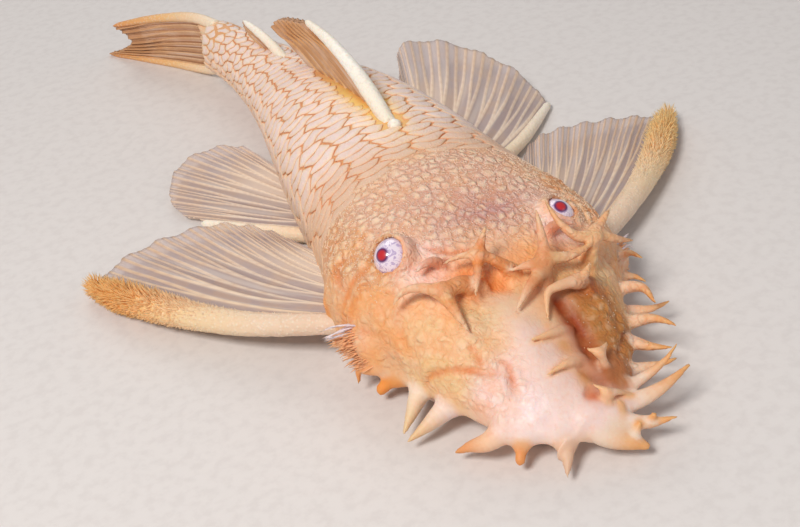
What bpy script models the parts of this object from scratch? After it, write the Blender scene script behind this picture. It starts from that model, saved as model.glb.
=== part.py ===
"""Bristlenose pleco, an adult albino male at rest on its belly, life size.

A place on the fish is given in millimetres as a station (how far back from the
snout along the bent midline), a side offset (positive to the fish's left) and a
height above the floor. The body is one loft over the midline, parted by thin cuts.
"""
import math

import bmesh
import bpy
import numpy as np
from mathutils import Vector

MM = 0.001
GAP = 0.32

# Stations that part the body, from the snout to the root of the tail fin.
SNOUT_TIP = 1.0
SNOUT_END = 20.0
HEAD_END = 35.0
TRUNK_MIDDLE = 52.0
TRUNK_END = 70.0
TAIL_MIDDLE = 86.0
TAIL_ROOT = 101.0
ORIGIN_STATION = 43.0

MIDLINE_END = 130.0
NOSE_SETBACK = 0.12

RING_SIDES = 26
RING_STEP = 4.5
NOSE_STATIONS = (1.12, 1.5, 2.2, 3.2, 4.8, 7.0, 10.0, 13.5)
FLAT_DEPTH = 0.3

# The head leans to its left by this angle, fading out down the trunk and towards the floor.
HEAD_TILT = 4.7
TILT_FADE = (30, 60)
TILT_SPAN = 18.0
TILT_FLOOR = 8.0

# Station and size pairs that shape the body.
TRUNK_WIDTH = ((24, 16.1), (29, 16.8), (32, 15.8), (36, 14.3), (46, 12.7), (56, 11.4), (66, 9.6), (76, 7.3),
               (86, 5.2), (94, 4.0), (101, 3.5))
LEFT_WIDTH = ((1.0, 0.0), (1.3, 2.0), (2.2, 3.6), (4, 5.3), (8, 7.8), (12, 10.0), (17, 12.6), (20, 14.0)) + TRUNK_WIDTH
RIGHT_WIDTH = ((1.0, 0.0), (1.3, 2.9), (2.2, 5.2), (4, 7.4), (8, 9.5), (12, 11.2), (17, 13.2), (20, 14.4)) + TRUNK_WIDTH
BACK_HEIGHT = ((1.0, 3.6), (1.8, 4.9), (4, 6.4), (8, 8.6), (12, 10.4), (20, 13.3), (27, 15.2), (36, 16.6),
               (46, 16.9), (56, 16.2), (68, 14.6), (79, 12.4), (90, 11.2), (101, 10.9))
BELLY_HEIGHT = ((1.0, 3.0), (1.8, 2.4), (4, 2.0), (21, 2.0), (26, 0.8), (30, -FLAT_DEPTH),
                (53, -FLAT_DEPTH), (64, 0.8), (76, 1.6), (88, 2.0), (101, 2.3))
WIDEST_SHARE = ((1, 0.5), (4, 0.32), (12, 0.25), (30, 0.27), (50, 0.42), (80, 0.5), (101, 0.5))
BACK_FULLNESS = ((1, 2.1), (12, 2.5), (20, 2.7), (32, 2.6), (46, 2.2), (101, 2.0))
BELLY_FULLNESS = ((1, 2.2), (8, 4.2), (45, 4.2), (70, 2.8), (101, 2.1))
HEADING = ((0, 0.0), (46, -1.5), (60, 0.0), (75, 4.0), (90, 8.5), (101, 14.0), (112, 30.0), (128, 38.0))

EYE_RADIUS = 2.12
EYE_PLACES = {"eye_left": (24.3, 9.0, 12.25), "eye_right": (24.6, -9.75, 13.0)}

FAN_ROOT_HALF = 0.42
FAN_RIM_HALF = 0.28
FAN_CLEARANCE = 0.1
MIN_RADIUS = 0.2

COLOURS = {
    "skin": (0.86, 0.60, 0.42, 0.5),
    "plates": (0.90, 0.72, 0.60, 0.45),
    "bristle": (0.80, 0.52, 0.30, 0.5),
    "fin": (0.78, 0.66, 0.58, 0.5),
    "spine": (0.93, 0.84, 0.70, 0.4),
    "odontode": (0.93, 0.62, 0.32, 0.5),
    "eye": (0.62, 0.30, 0.42, 0.15),
    "mouth": (0.88, 0.70, 0.62, 0.5),
}


def flow(pairs, at):
    """Read a smooth curve without overshoot through (station, value) pairs."""
    table = np.array(pairs, float)
    x, y = table[:, 0], table[:, 1]
    width = np.diff(x)
    rise = np.diff(y) / width
    slope = np.zeros(len(x))
    slope[0], slope[-1] = rise[0], rise[-1]
    for i in range(1, len(x) - 1):
        if rise[i - 1] * rise[i] > 0:
            before = 2 * width[i] + width[i - 1]
            after = width[i] + 2 * width[i - 1]
            slope[i] = (before + after) / (before / rise[i - 1] + after / rise[i])
    at = np.clip(np.asarray(at, float), x[0], x[-1])
    i = np.clip(np.searchsorted(x, at, side="right") - 1, 0, len(width) - 1)
    t = (at - x[i]) / width[i]
    start = (1 + 2 * t) * (1 - t) ** 2 * y[i] + t * (1 - t) ** 2 * width[i] * slope[i]
    end = t * t * (3 - 2 * t) * y[i + 1] + t * t * (t - 1) * width[i] * slope[i + 1]
    return start + end


def trace_midline():
    """Walk the midline once: stations, x and y, with the belly's rest point at the origin."""
    stations = np.linspace(0.0, MIDLINE_END, 521)
    heading = np.radians(flow(HEADING, stations))
    step_x, step_y = -np.sin(heading), np.cos(heading)
    step = stations[1] - stations[0]
    x = np.concatenate([[0.0], np.cumsum((step_x[1:] + step_x[:-1]) / 2 * step)])
    y = np.concatenate([[0.0], np.cumsum((step_y[1:] + step_y[:-1]) / 2 * step)])
    return stations, x - np.interp(ORIGIN_STATION, stations, x), y - np.interp(ORIGIN_STATION, stations, y)


MIDLINE = trace_midline()


def place(station, offset, height):
    """Turn fish places, single or arrays, into world points in metres."""
    stations, x, y = MIDLINE
    on_line = np.clip(station, 0.0, MIDLINE_END)
    heading = np.radians(flow(HEADING, on_line))
    ahead = np.asarray(station, float) - on_line
    tilt = np.tan(np.radians(HEAD_TILT * np.interp(station, TILT_FADE, (1, 0))))
    raised = np.clip(np.asarray(height, float) / TILT_FLOOR, 0, 1)
    lean = -np.clip(offset, -TILT_SPAN, TILT_SPAN) * tilt * raised
    world = np.stack(np.broadcast_arrays(
        np.interp(on_line, stations, x) + offset * np.cos(heading) - ahead * np.sin(heading),
        np.interp(on_line, stations, y) + offset * np.sin(heading) + ahead * np.cos(heading),
        np.maximum(height + lean, 0.0)), axis=-1)
    return world * MM


def section(station, angle, grow=0.0):
    """Side offset and height of the body's outline; the angle runs from the top to the left."""
    top = flow(BACK_HEIGHT, station) + grow
    low = flow(BELLY_HEIGHT, station) - grow
    middle = low + flow(WIDEST_SHARE, station) * (top - low)
    cosine, sine = np.cos(angle), np.sin(angle)
    half = np.where(sine >= 0, flow(LEFT_WIDTH, station), flow(RIGHT_WIDTH, station)) + grow
    fullness = np.where(cosine >= 0, flow(BACK_FULLNESS, station), flow(BELLY_FULLNESS, station))
    reach = np.where(cosine >= 0, top - middle, middle - low)
    offset = half * np.sign(sine) * np.abs(sine) ** (2 / fullness)
    height = middle + reach * np.sign(cosine) * np.abs(cosine) ** (2 / fullness)
    return offset, height


def material(finish):
    """Make or fetch the plain material of one finish."""
    found = bpy.data.materials.get(finish)
    if found:
        return found
    red, green, blue, roughness = COLOURS[finish]
    made = bpy.data.materials.new(finish)
    made.use_nodes = True
    shader = made.node_tree.nodes["Principled BSDF"]
    shader.inputs["Base Color"].default_value = (red, green, blue, 1.0)
    shader.inputs["Roughness"].default_value = roughness
    shader.inputs["Metallic"].default_value = 0.0
    return made


def add_object(name, points, faces, finish):
    """Make a closed, smooth object with its faces pointing out."""
    mesh = bpy.data.meshes.new(name)
    mesh.from_pydata([tuple(p) for p in points], [], faces)
    mesh.materials.append(material(finish))
    work = bmesh.new()
    work.from_mesh(mesh)
    bmesh.ops.recalc_face_normals(work, faces=work.faces)
    if work.calc_volume(signed=True) < 0:
        bmesh.ops.reverse_faces(work, faces=work.faces)
    work.to_mesh(mesh)
    work.free()
    mesh.shade_smooth()
    made = bpy.data.objects.new(name, mesh)
    bpy.context.scene.collection.objects.link(made)
    return made


def ring_faces(rings, sides):
    """Faces of a tube of point rings, with a flat face at each end."""
    faces = []
    for ring in range(rings - 1):
        for side in range(sides):
            beside = (side + 1) % sides
            faces.append((ring * sides + side, ring * sides + beside,
                          (ring + 1) * sides + beside, (ring + 1) * sides + side))
    faces.append(tuple(range(sides)))
    faces.append(tuple(range((rings - 1) * sides, rings * sides)))
    return faces


def keep_largest(mesh):
    """Drop the crumbs that a cut leaves beside a mesh's main body."""
    work = bmesh.new()
    work.from_mesh(mesh)
    unseen = set(work.verts)
    bodies = []
    while unseen:
        found = [unseen.pop()]
        for vertex in found:
            for edge in vertex.link_edges:
                other = edge.other_vert(vertex)
                if other in unseen:
                    unseen.remove(other)
                    found.append(other)
        bodies.append(found)
    bodies.sort(key=len)
    crumbs = [vertex for body in bodies[:-1] for vertex in body]
    bmesh.ops.delete(work, geom=crumbs, context="VERTS")
    work.to_mesh(mesh)
    work.free()


def combine(base, tool, operation, keep_tool=False):
    """Join a tool to a base, or cut it away, and bake the result into the base."""
    modifier = base.modifiers.new("combine", "BOOLEAN")
    modifier.operation = operation
    modifier.object = tool
    modifier.use_self = True
    graph = bpy.context.evaluated_depsgraph_get()
    mesh = bpy.data.meshes.new_from_object(base.evaluated_get(graph))
    base.modifiers.remove(modifier)
    keep_largest(mesh)
    base.data = mesh
    if not keep_tool:
        bpy.data.objects.remove(tool)
    return base


def body_loft(name, first, last, finish, grow=0.0):
    """Loft the body between two stations, with rings closer together at the snout."""
    near = [first] + [station for station in NOSE_STATIONS if first < station < last]
    start = near[-1]
    count = max(2, int(math.ceil((last - start) / RING_STEP)))
    stations = near[:-1] + list(np.linspace(start, last, count + 1))
    angles = np.linspace(0, 2 * math.pi, RING_SIDES, endpoint=False)
    points = []
    for index, station in enumerate(stations):
        offset, height = section(np.full(RING_SIDES, station), angles, grow)
        shift = grow * (index == len(stations) - 1) - grow * (index == 0)
        points.extend(place(np.full(RING_SIDES, station + shift), offset, height))
    return add_object(name, points, ring_faces(len(stations), RING_SIDES), finish)


def smooth_path(knots, count):
    """Read count points along a smooth curve through (station, offset, height) knots."""
    knots = np.array(knots, float)
    reach = np.concatenate([[0.0], np.cumsum(np.linalg.norm(np.diff(knots, axis=0), axis=1))])
    at = np.linspace(0.0, reach[-1], count)
    columns = []
    for axis in range(3):
        slope = np.gradient(knots[:, axis], reach)
        i = np.clip(np.searchsorted(reach, at, side="right") - 1, 0, len(knots) - 2)
        width = reach[i + 1] - reach[i]
        t = (at - reach[i]) / width
        columns.append((1 + 2 * t) * (1 - t) ** 2 * knots[i, axis] + t * (1 - t) ** 2 * width * slope[i]
                       + t * t * (3 - 2 * t) * knots[i + 1, axis] + t * t * (t - 1) * width * slope[i + 1])
    return np.stack(columns, axis=-1)


def tube(name, path, radii, finish, sides=8):
    """Sweep a round section along a path of fish places, with radii spread evenly on it."""
    spine = place(path[:, 0], path[:, 1], path[:, 2])
    shares = np.linspace(0, 1, len(radii))
    widths = np.interp(np.linspace(0, 1, len(spine)), shares, radii) * MM
    normal = None
    points = []
    for i, centre in enumerate(spine):
        along = Vector(spine[min(i + 1, len(spine) - 1)] - spine[max(i - 1, 0)]).normalized()
        if normal is None:
            normal = along.orthogonal()
        normal = (normal - along * normal.dot(along)).normalized()
        across = along.cross(normal)
        for side in range(sides):
            turn = 2 * math.pi * side / sides
            point = Vector(centre) + (normal * math.cos(turn) + across * math.sin(turn)) * widths[i]
            points.append((point.x, point.y, max(point.z, 0.0)))
    return add_object(name, points, ring_faces(len(spine), sides), finish)


def sheet(name, grid, half_thickness, finish):
    """Give a grid of world points a thickness, and close its rim."""
    rows, columns = grid.shape[:2]
    along = np.gradient(grid, axis=0)
    across = np.gradient(grid, axis=1)
    normal = np.cross(along, across)
    normal /= np.linalg.norm(normal, axis=-1, keepdims=True) + 1e-12
    thick = half_thickness[..., None] * MM
    upper = grid + normal * thick
    lower = grid - normal * thick
    points = np.concatenate([upper.reshape(-1, 3), lower.reshape(-1, 3)])
    points[:, 2] = np.maximum(points[:, 2], 0.0)
    size = rows * columns
    faces = []
    for row in range(rows - 1):
        for column in range(columns - 1):
            a = row * columns + column
            faces.append((a, a + 1, a + columns + 1, a + columns))
            faces.append((size + a, size + a + columns, size + a + columns + 1, size + a + 1))
    rim = [(0, c) for c in range(columns)] + [(r, columns - 1) for r in range(1, rows)]
    rim += [(rows - 1, c) for c in range(columns - 2, -1, -1)] + [(r, 0) for r in range(rows - 2, 0, -1)]
    for (row, column), (next_row, next_column) in zip(rim, rim[1:] + rim[:1]):
        a = row * columns + column
        b = next_row * columns + next_column
        faces.append((a, size + a, size + b, b))
    return add_object(name, points, faces, finish)


def beside_spine(leading, radii, root_end, count):
    """The fan's first edge: the spine's path moved over by its radius and the gap, towards the fan."""
    path = smooth_path(leading, count)
    along = np.gradient(path, axis=0)
    aside = np.stack([-along[:, 1], along[:, 0], np.zeros(count)], axis=-1)
    aside /= np.linalg.norm(aside, axis=1, keepdims=True)
    if np.dot(aside[count // 2], np.array(root_end) - path[count // 2]) < 0:
        aside = -aside
    radius = np.interp(np.linspace(0, 1, count), np.linspace(0, 1, len(radii)), radii)
    return path + aside * (radius + GAP + FAN_CLEARANCE)[:, None]


def fin_fan(name, leading, radii, root_end, tips, rays, sag):
    """A fan of rays from a short root line to a row of tips, its first edge beside the spine."""
    rows, columns = 7, rays + 1
    edge = beside_spine(leading, radii, root_end, rows)
    rim = smooth_path([edge[-1]] + list(tips), columns)
    share = np.linspace(0, 1, columns)[None, :, None]
    along = np.linspace(0, 1, rows)[:, None, None]
    root = edge[0] * (1 - share) + np.array(root_end, float) * share
    bow = (edge - (edge[0] * (1 - along[:, 0]) + edge[-1] * along[:, 0]))[:, None, :]
    grid = root * (1 - along) + rim[None] * along + bow * (1 - share) ** 1.5
    grid[..., 2] -= (sag * np.sin(math.pi * along) * np.sin(math.pi * share))[..., 0]
    world = place(grid[..., 0], grid[..., 1], grid[..., 2])
    half = np.linspace(FAN_ROOT_HALF, FAN_RIM_HALF, rows)[:, None] + np.zeros((1, columns))
    return sheet(name, world, half, "fin")


def mirrored(points, side):
    """Flip a list of fish places to the given side."""
    return [(station, offset * side, height) for station, offset, height in points]


def body_parts():
    """The snout, head, trunk and tail stem, each its own solid."""
    ends = (SNOUT_TIP, SNOUT_END, HEAD_END, TRUNK_MIDDLE, TRUNK_END, TAIL_MIDDLE, TAIL_ROOT)
    names = ("snout", "head", "trunk_front", "trunk_rear", "tail_front", "tail_rear")
    finishes = ("skin", "skin", "plates", "plates", "plates", "plates")
    for name, finish, first, last in zip(names, finishes, ends, ends[1:]):
        start = first + (GAP / 2 if first > SNOUT_TIP else NOSE_SETBACK)
        body_loft(name, start, last - GAP / 2, finish)


def eyes():
    """An eyeball set in a round socket on each side of the head."""
    head = bpy.data.objects["head"]
    for name, at in EYE_PLACES.items():
        centre = place(*at)
        for grow, label in ((GAP, "socket"), (0.0, name)):
            work = bmesh.new()
            bmesh.ops.create_uvsphere(work, u_segments=12, v_segments=7, radius=(EYE_RADIUS + grow) * MM)
            bmesh.ops.translate(work, verts=work.verts, vec=Vector(centre))
            mesh = bpy.data.meshes.new(label)
            work.to_mesh(mesh)
            work.free()
            mesh.shade_smooth()
            mesh.materials.append(material("eye"))
            ball = bpy.data.objects.new(label, mesh)
            bpy.context.scene.collection.objects.link(ball)
            if grow:
                combine(head, ball, "DIFFERENCE")


def mouth():
    """The round sucker mouth under the snout, with its lips flat on the floor, and two barbels."""
    sides = 20
    centre, length, width = 10.2, 6.4, 7.6
    # Share of the radius and height of each ring, from the roof of the mouth out to the top.
    profile = ((0.12, 1.05), (0.40, 1.0), (0.52, 0.45), (0.62, 0.0), (0.93, 0.0), (1.0, 0.35), (0.97, 1.0),
               (0.80, 1.62), (0.12, 1.66))
    points = []
    for share, height in profile:
        turns = np.linspace(0, 2 * math.pi, sides, endpoint=False)
        points.extend(place(centre + length * share * np.cos(turns), width * share * np.sin(turns), height))
    add_object("mouth_disc", points, ring_faces(len(profile), sides), "mouth")
    for side, name in ((1, "barbel_left"), (-1, "barbel_right")):
        path = smooth_path(mirrored([(13.8, 8.4, 1.2), (15.4, 10.2, 1.1), (17.8, 11.4, 0.8)], side), 5)
        tube(name, path, (0.42, 0.34, 0.25), "bristle", sides=6)


def snout_bristles():
    """Fleshy feelers along the rim of the snout, joined to it."""
    # Each has its root's radius and the places that it runs through, from inside the rim to its tip.
    feelers = (
        (0.85, ((17.4, -10.9, 3.8), (18.2, -13.2, 3.5), (20.0, -15.6, 3.1), (21.4, -16.7, 2.6))),
        (1.2, ((15.4, -11.2, 3.6), (16.2, -13.0, 2.9), (17.6, -14.6, 2.5), (18.7, -15.7, 2.2))),
        (1.2, ((16.0, -10.4, 3.8), (15.6, -12.5, 3.1), (14.4, -14.1, 2.6), (12.8, -16.0, 1.9))),
        (1.3, ((12.2, -9.1, 4.0), (12.2, -11.5, 3.1), (11.8, -13.8, 2.6), (11.6, -16.1, 1.9))),
        (1.1, ((5.6, -7.4, 3.8), (6.0, -9.8, 3.0), (7.0, -11.5, 2.6), (7.8, -12.9, 1.9))),
        (1.0, ((5.2, -5.9, 3.6), (4.2, -7.3, 2.8), (3.4, -8.1, 2.2))),
        (1.2, ((4.2, -3.3, 3.9), (2.7, -3.7, 3.1), (1.0, -4.3, 2.5), (-0.8, -5.4, 1.9))),
        (1.5, ((3.0, -0.9, 4.0), (1.1, -0.1, 3.2), (-0.4, 1.0, 2.7), (-1.7, 2.8, 2.2))),
        (1.0, ((2.6, 0.9, 4.1), (0.7, 2.6, 3.6), (-0.6, 4.5, 3.4), (-1.6, 6.4, 3.9))),
        (1.05, ((3.4, 1.8, 4.1), (2.4, 4.0, 3.9), (2.0, 6.4, 4.5), (2.2, 10.8, 6.3))),
        (0.8, ((5.8, 2.9, 4.7), (4.2, 5.0, 5.1), (3.4, 7.2, 6.4), (2.7, 9.6, 9.0))),
        (0.9, ((7.8, 3.9, 4.4), (6.6, 6.8, 4.2), (5.9, 8.6, 4.2), (5.0, 11.4, 4.8))),
        (1.0, ((10.6, 6.0, 5.2), (9.2, 8.4, 5.2), (7.7, 9.8, 5.2), (6.1, 11.3, 5.4))),
        (0.95, ((13.0, 7.6, 5.6), (11.4, 10.2, 5.8), (9.8, 11.6, 6.8), (6.8, 12.5, 7.6))),
        (0.95, ((15.0, 9.2, 4.4), (15.0, 12.0, 3.9), (14.4, 14.1, 3.9), (14.0, 16.6, 4.1))),
        (0.95, ((17.2, 9.7, 5.8), (16.4, 12.0, 6.4), (14.2, 13.1, 7.7), (10.6, 12.5, 8.1))),
        (0.9, ((18.2, 10.9, 4.8), (18.6, 13.4, 4.9), (18.4, 15.0, 5.0), (17.6, 16.1, 4.8))),
    )
    snout = bpy.data.objects["snout"]
    for radius, knots in feelers:
        feeler = tube("feeler", smooth_path(knots, 5), (radius * 1.1, radius, radius * 0.72, MIN_RADIUS), "bristle",
                      sides=6)
        combine(snout, feeler, "UNION")


def branched_bristles(clearance):
    """Branched feelers on top of the snout, in the Y that a grown male carries."""
    # Each has a root radius and branches; a branch is a run of places from its start to its tip.
    trees = {
        "bristle_right_outer": (1.1, (
            ((17.4, -4.6, 11.0), (16.6, -7.2, 13.5), (16.4, -9.9, 14.0), (18.0, -13.2, 12.9)),
            ((16.6, -7.4, 13.4), (14.4, -7.8, 12.6), (12.2, -8.1, 11.2)))),
        "bristle_right_inner": (0.9, (
            ((19.2, -2.4, 12.0), (18.6, -2.9, 14.8), (19.6, -1.5, 17.1)),
            ((18.6, -2.9, 14.6), (18.4, -6.6, 15.4), (19.2, -9.8, 14.8)),
            ((18.6, -2.9, 14.4), (17.0, -3.3, 14.2), (15.4, -3.9, 13.2)))),
        "bristle_middle_upper": (0.95, (
            ((17.0, 1.9, 11.2), (16.3, 1.6, 13.4), (14.2, -0.6, 12.9), (12.3, -2.1, 11.7)),
            ((16.2, 1.6, 13.4), (15.8, 3.4, 13.8), (15.4, 4.7, 13.0)))),
        "bristle_left_inner": (0.85, (
            ((19.6, 6.4, 11.6), (19.4, 6.2, 14.2), (20.2, 4.6, 16.6)),
            ((19.4, 6.2, 13.8), (18.4, 7.6, 14.0), (17.4, 8.4, 12.9)))),
        "bristle_left_outer": (0.95, (
            ((16.6, 9.6, 9.6), (16.1, 9.6, 12.0), (18.0, 11.4, 13.2), (20.2, 13.4, 13.2)),
            ((16.1, 9.6, 11.8), (18.6, 13.4, 10.8), (21.0, 16.8, 7.6)),
            ((16.1, 9.6, 11.6), (14.8, 8.6, 11.6), (13.8, 7.8, 10.8)))),
        "bristle_middle": (0.85, (
            ((13.2, 3.0, 9.4), (12.7, 3.1, 11.3), (13.5, 1.6, 12.2), (13.9, 0.0, 12.0)),
            ((12.8, 3.0, 10.8), (12.4, 4.5, 11.7), (12.8, 6.0, 12.1)),
            ((12.9, 2.9, 10.5), (11.5, 1.1, 11.1), (10.2, -0.4, 10.3)))),
        "bristle_middle_single": (0.7, (
            ((10.2, 1.4, 8.4), (9.8, 0.0, 10.0), (9.3, -1.8, 10.6), (8.7, -3.3, 10.3)),)),
        "bristle_lower_single": (0.65, (
            ((6.6, 0.4, 6.4), (6.3, -0.8, 8.2), (5.8, -2.2, 8.9), (5.3, -3.4, 8.7)),)),
        "bristle_lower": (0.7, (
            ((5.9, 2.3, 5.8), (5.5, 2.3, 7.9), (6.1, 1.1, 9.2)),
            ((5.5, 2.3, 7.6), (5.2, 3.2, 8.2), (5.2, 4.1, 8.6)),)),
        "bristle_tip": (0.65, (
            ((3.4, 1.2, 4.4), (2.8, 1.1, 6.0), (2.9, 0.1, 7.2)),
            ((2.8, 1.1, 5.8), (2.4, 2.0, 6.0), (2.1, 2.9, 5.9)),)),
    }
    for name, (radius, branches) in trees.items():
        made = None
        for index, knots in enumerate(branches):
            path = smooth_path(knots, 5)
            size = radius if index == 0 else radius * 0.85
            branch = tube(name, path, (size, size * 0.95, size * 0.7, MIN_RADIUS), "bristle", sides=6)
            made = combine(made, branch, "UNION") if made else branch
        made.name = name
        combine(made, clearance, "DIFFERENCE", keep_tool=True)


def cheek_spines(clearance):
    """A pad of hooked spines on each cheek, turned out as a grown male holds them."""
    for side, name in ((1, "cheek_spines_left"), (-1, "cheek_spines_right")):
        middle = 4.6 - 0.9 * side
        pad_path = mirrored([(20.4, 14.6, middle), (24.0, 16.0, middle), (27.2, 15.4, middle)], side)
        pad = tube(name, smooth_path(pad_path, 5), (1.1, 2.3, 1.1), "odontode", sides=8)
        for index in range(8):
            row, place_in_row = divmod(index, 4)
            station = 22.2 + 1.25 * place_in_row + 0.5 * row
            height = middle + 0.9 - 1.9 * row
            reach = 2.3 + 0.4 * place_in_row
            knots = mirrored([(station, 16.2, height), (station + 0.2, 17.3 + 0.35 * reach, height + 0.2),
                              (station + 0.55 * reach, 17.2 + 0.75 * reach, height - 0.1)], side)
            hook = tube("hook", smooth_path(knots, 4), (0.46, 0.38, 0.26, 0.16), "odontode", sides=5)
            combine(pad, hook, "UNION")
        combine(pad, clearance, "DIFFERENCE", keep_tool=True)


def paired_fin(label, leading, radii, root_end, tips, rays, sag, clearance):
    """A stout spine with a fan of rays behind it, both cut clear of the body."""
    spine = tube(label + "_spine", smooth_path(leading, 10), radii, "spine")
    combine(spine, clearance, "DIFFERENCE", keep_tool=True)
    fan = fin_fan(label + "_fan", leading, radii, root_end, tips, rays, sag)
    combine(fan, clearance, "DIFFERENCE", keep_tool=True)


def pectoral_fins(clearance):
    """Broad fins spread from the shoulders, their spines thick with bristles towards the tip."""
    radii = (1.15, 1.25, 1.45, 1.7, 1.85, 1.75, 0.7)
    paired_fin("pectoral_right",
               [(27.4, -15.0, 4.8), (35.9, -24.0, 3.5), (48.0, -32.6, 2.3), (54.8, -35.8, 1.35),
                (59.3, -37.3, 0.9)],
               radii, (37.5, -11.0, 5.2),
               [(60.2, -33.5, 2.0), (60.6, -28.0, 2.9), (58.6, -21.0, 3.7), (53.2, -17.2, 4.7),
                (46.0, -14.8, 5.7)],
               12, 0.8, clearance)
    paired_fin("pectoral_left",
               [(26.8, 15.0, 5.0), (33.2, 23.9, 4.0), (41.9, 33.6, 2.6), (46.9, 38.0, 1.65), (50.6, 41.2, 1.2)],
               radii, (36.0, 11.0, 5.4),
               [(51.6, 37.0, 2.2), (52.4, 31.0, 3.2), (52.2, 25.0, 4.2), (50.4, 20.6, 5.1), (47.2, 17.4, 5.8)],
               12, 0.8, clearance)


def pelvic_fins(clearance):
    """The pair under the trunk: the right lies low, the left spreads wide and cups up."""
    radii = (0.85, 0.95, 0.9, 0.75, 0.5)
    paired_fin("pelvic_right",
               [(50.0, -8.6, 1.5), (57.5, -15.4, 1.1), (65.0, -20.8, 0.7)],
               radii, (58.5, -6.5, 2.2),
               [(70.0, -22.4, 0.9), (76.0, -21.4, 1.4), (80.4, -17.8, 2.0), (80.4, -13.4, 2.6),
                (77.0, -9.6, 3.0)],
               9, 0.3, clearance)
    paired_fin("pelvic_left",
               [(49.5, 8.6, 2.0), (54.6, 19.6, 1.6), (63.3, 30.9, 0.7)],
               radii, (58.5, 6.5, 2.6),
               [(68.6, 30.2, 3.0), (74.6, 27.4, 5.0), (79.0, 23.0, 6.6), (79.6, 18.6, 7.4), (72.5, 13.2, 7.0)],
               9, 0.4, clearance)


def upright_fan(name, leading, base, tips, rays, half):
    """A fin on the midline: rays from a base line to a row of tips, in one upright sheet."""
    rows, columns = 6, rays + 1
    edge = smooth_path(leading, rows)
    rim = smooth_path([leading[-1]] + list(tips), columns)
    foot = smooth_path([leading[0]] + list(base), columns)
    along = np.linspace(0, 1, rows)[:, None, None]
    share = np.linspace(0, 1, columns)[None, :, None]
    bow = (edge - (edge[0] * (1 - along[:, 0]) + edge[-1] * along[:, 0]))[:, None, :]
    grid = foot[None] * (1 - along) + rim[None] * along + bow * (1 - share) ** 2
    world = place(grid[..., 0], grid[..., 1], grid[..., 2])
    thickness = half * (1.3 - 0.5 * np.linspace(0, 1, rows)[:, None]) + np.zeros((1, columns))
    return sheet(name, world, thickness, "fin")


def midline_fins(clearance):
    """The folded dorsal fin, the adipose fin, the anal fin and the nearly closed tail fin."""
    spine_path = [(46.4, 0.0, 16.0), (54.0, 0.2, 18.4), (63.0, 0.3, 20.0), (71.0, 0.3, 20.3)]
    radii = (1.2, 1.0, 0.9, 0.75, 0.5)
    spine = tube("dorsal_spine", smooth_path(spine_path, 9), radii, "spine")
    combine(spine, clearance, "DIFFERENCE", keep_tool=True)
    under_spine = [(station + 0.4, offset, height - radius - GAP - 0.15)
                   for (station, offset, height), radius in zip(spine_path, (1.2, 0.95, 0.82, 0.5))]
    fan = upright_fan("dorsal_fan", under_spine,
                      [(55.0, 0.0, 15.4), (62.0, 0.0, 14.6), (68.0, 0.0, 13.6)],
                      [(75.6, -0.1, 19.0), (78.6, -0.3, 18.0), (80.2, -0.4, 16.6)], 9, 0.42)
    combine(fan, clearance, "DIFFERENCE", keep_tool=True)

    adipose_path = [(78.6, 0.0, 11.0), (84.0, -0.2, 13.0), (90.2, -0.6, 14.3)]
    adipose = upright_fan("adipose_fin", adipose_path, [(83.0, 0.0, 11.0), (87.0, 0.0, 10.6)],
                          [(90.4, -0.5, 13.2), (89.4, -0.3, 12.0)], 3, 0.28)
    combine(adipose, tube("thorn", smooth_path(adipose_path, 7), (0.8, 0.7, 0.6, 0.35), "spine"), "UNION")
    combine(adipose, clearance, "DIFFERENCE", keep_tool=True)

    anal_path = [(70.0, 0.0, 2.4), (74.6, 0.0, 1.2), (79.4, 0.0, 0.5)]
    anal = upright_fan("anal_fin", anal_path, [(73.0, 0.0, 2.6), (76.0, 0.0, 2.8)],
                       [(80.4, 0.0, 0.7), (80.6, 0.0, 1.1)], 3, 0.3)
    combine(anal, clearance, "DIFFERENCE", keep_tool=True)

    upper = [(100.4, 0.0, 10.2), (106.0, 0.0, 10.0), (113.6, -0.1, 8.7), (124.6, 0.0, 5.9)]
    lower = [(100.4, 0.0, 3.0), (106.0, 0.3, 1.2), (114.0, 0.5, 0.5), (127.4, 0.6, 0.35)]
    caudal = upright_fan("caudal_fin", upper,
                         [(100.4, 0.0, 8.4), (100.4, 0.0, 6.6), (100.4, 0.0, 4.8), (100.4, 0.0, 3.2)],
                         [(122.6, 0.1, 4.8), (121.6, 0.2, 3.4), (123.6, 0.4, 1.9), (127.4, 0.6, 0.4)], 7, 0.42)
    combine(caudal, tube("upper_ray", smooth_path(upper, 9), (0.85, 0.75, 0.6, 0.35), "spine"), "UNION")
    combine(caudal, tube("lower_ray", smooth_path(lower, 9), (0.85, 0.75, 0.6, 0.35), "spine"), "UNION")
    combine(caudal, clearance, "DIFFERENCE", keep_tool=True)


def build():
    """Clear the scene and make every sub-part."""
    for old in list(bpy.data.objects):
        bpy.data.objects.remove(old)
    body_parts()
    snout_bristles()
    eyes()
    mouth()
    clearance = body_loft("clearance", SNOUT_TIP + NOSE_SETBACK, TAIL_ROOT - GAP / 2, "skin", grow=GAP)
    branched_bristles(clearance)
    cheek_spines(clearance)
    pectoral_fins(clearance)
    pelvic_fins(clearance)
    midline_fins(clearance)
    bpy.data.objects.remove(clearance)


build()
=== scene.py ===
"""Looks of a bristlenose pleco: an adult albino male at rest, life size.

A place on the fish is given in millimetres as a station (how far back from the snout
along the bent midline), a side offset (positive to the fish's left) and a height.
"""
import math

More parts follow.
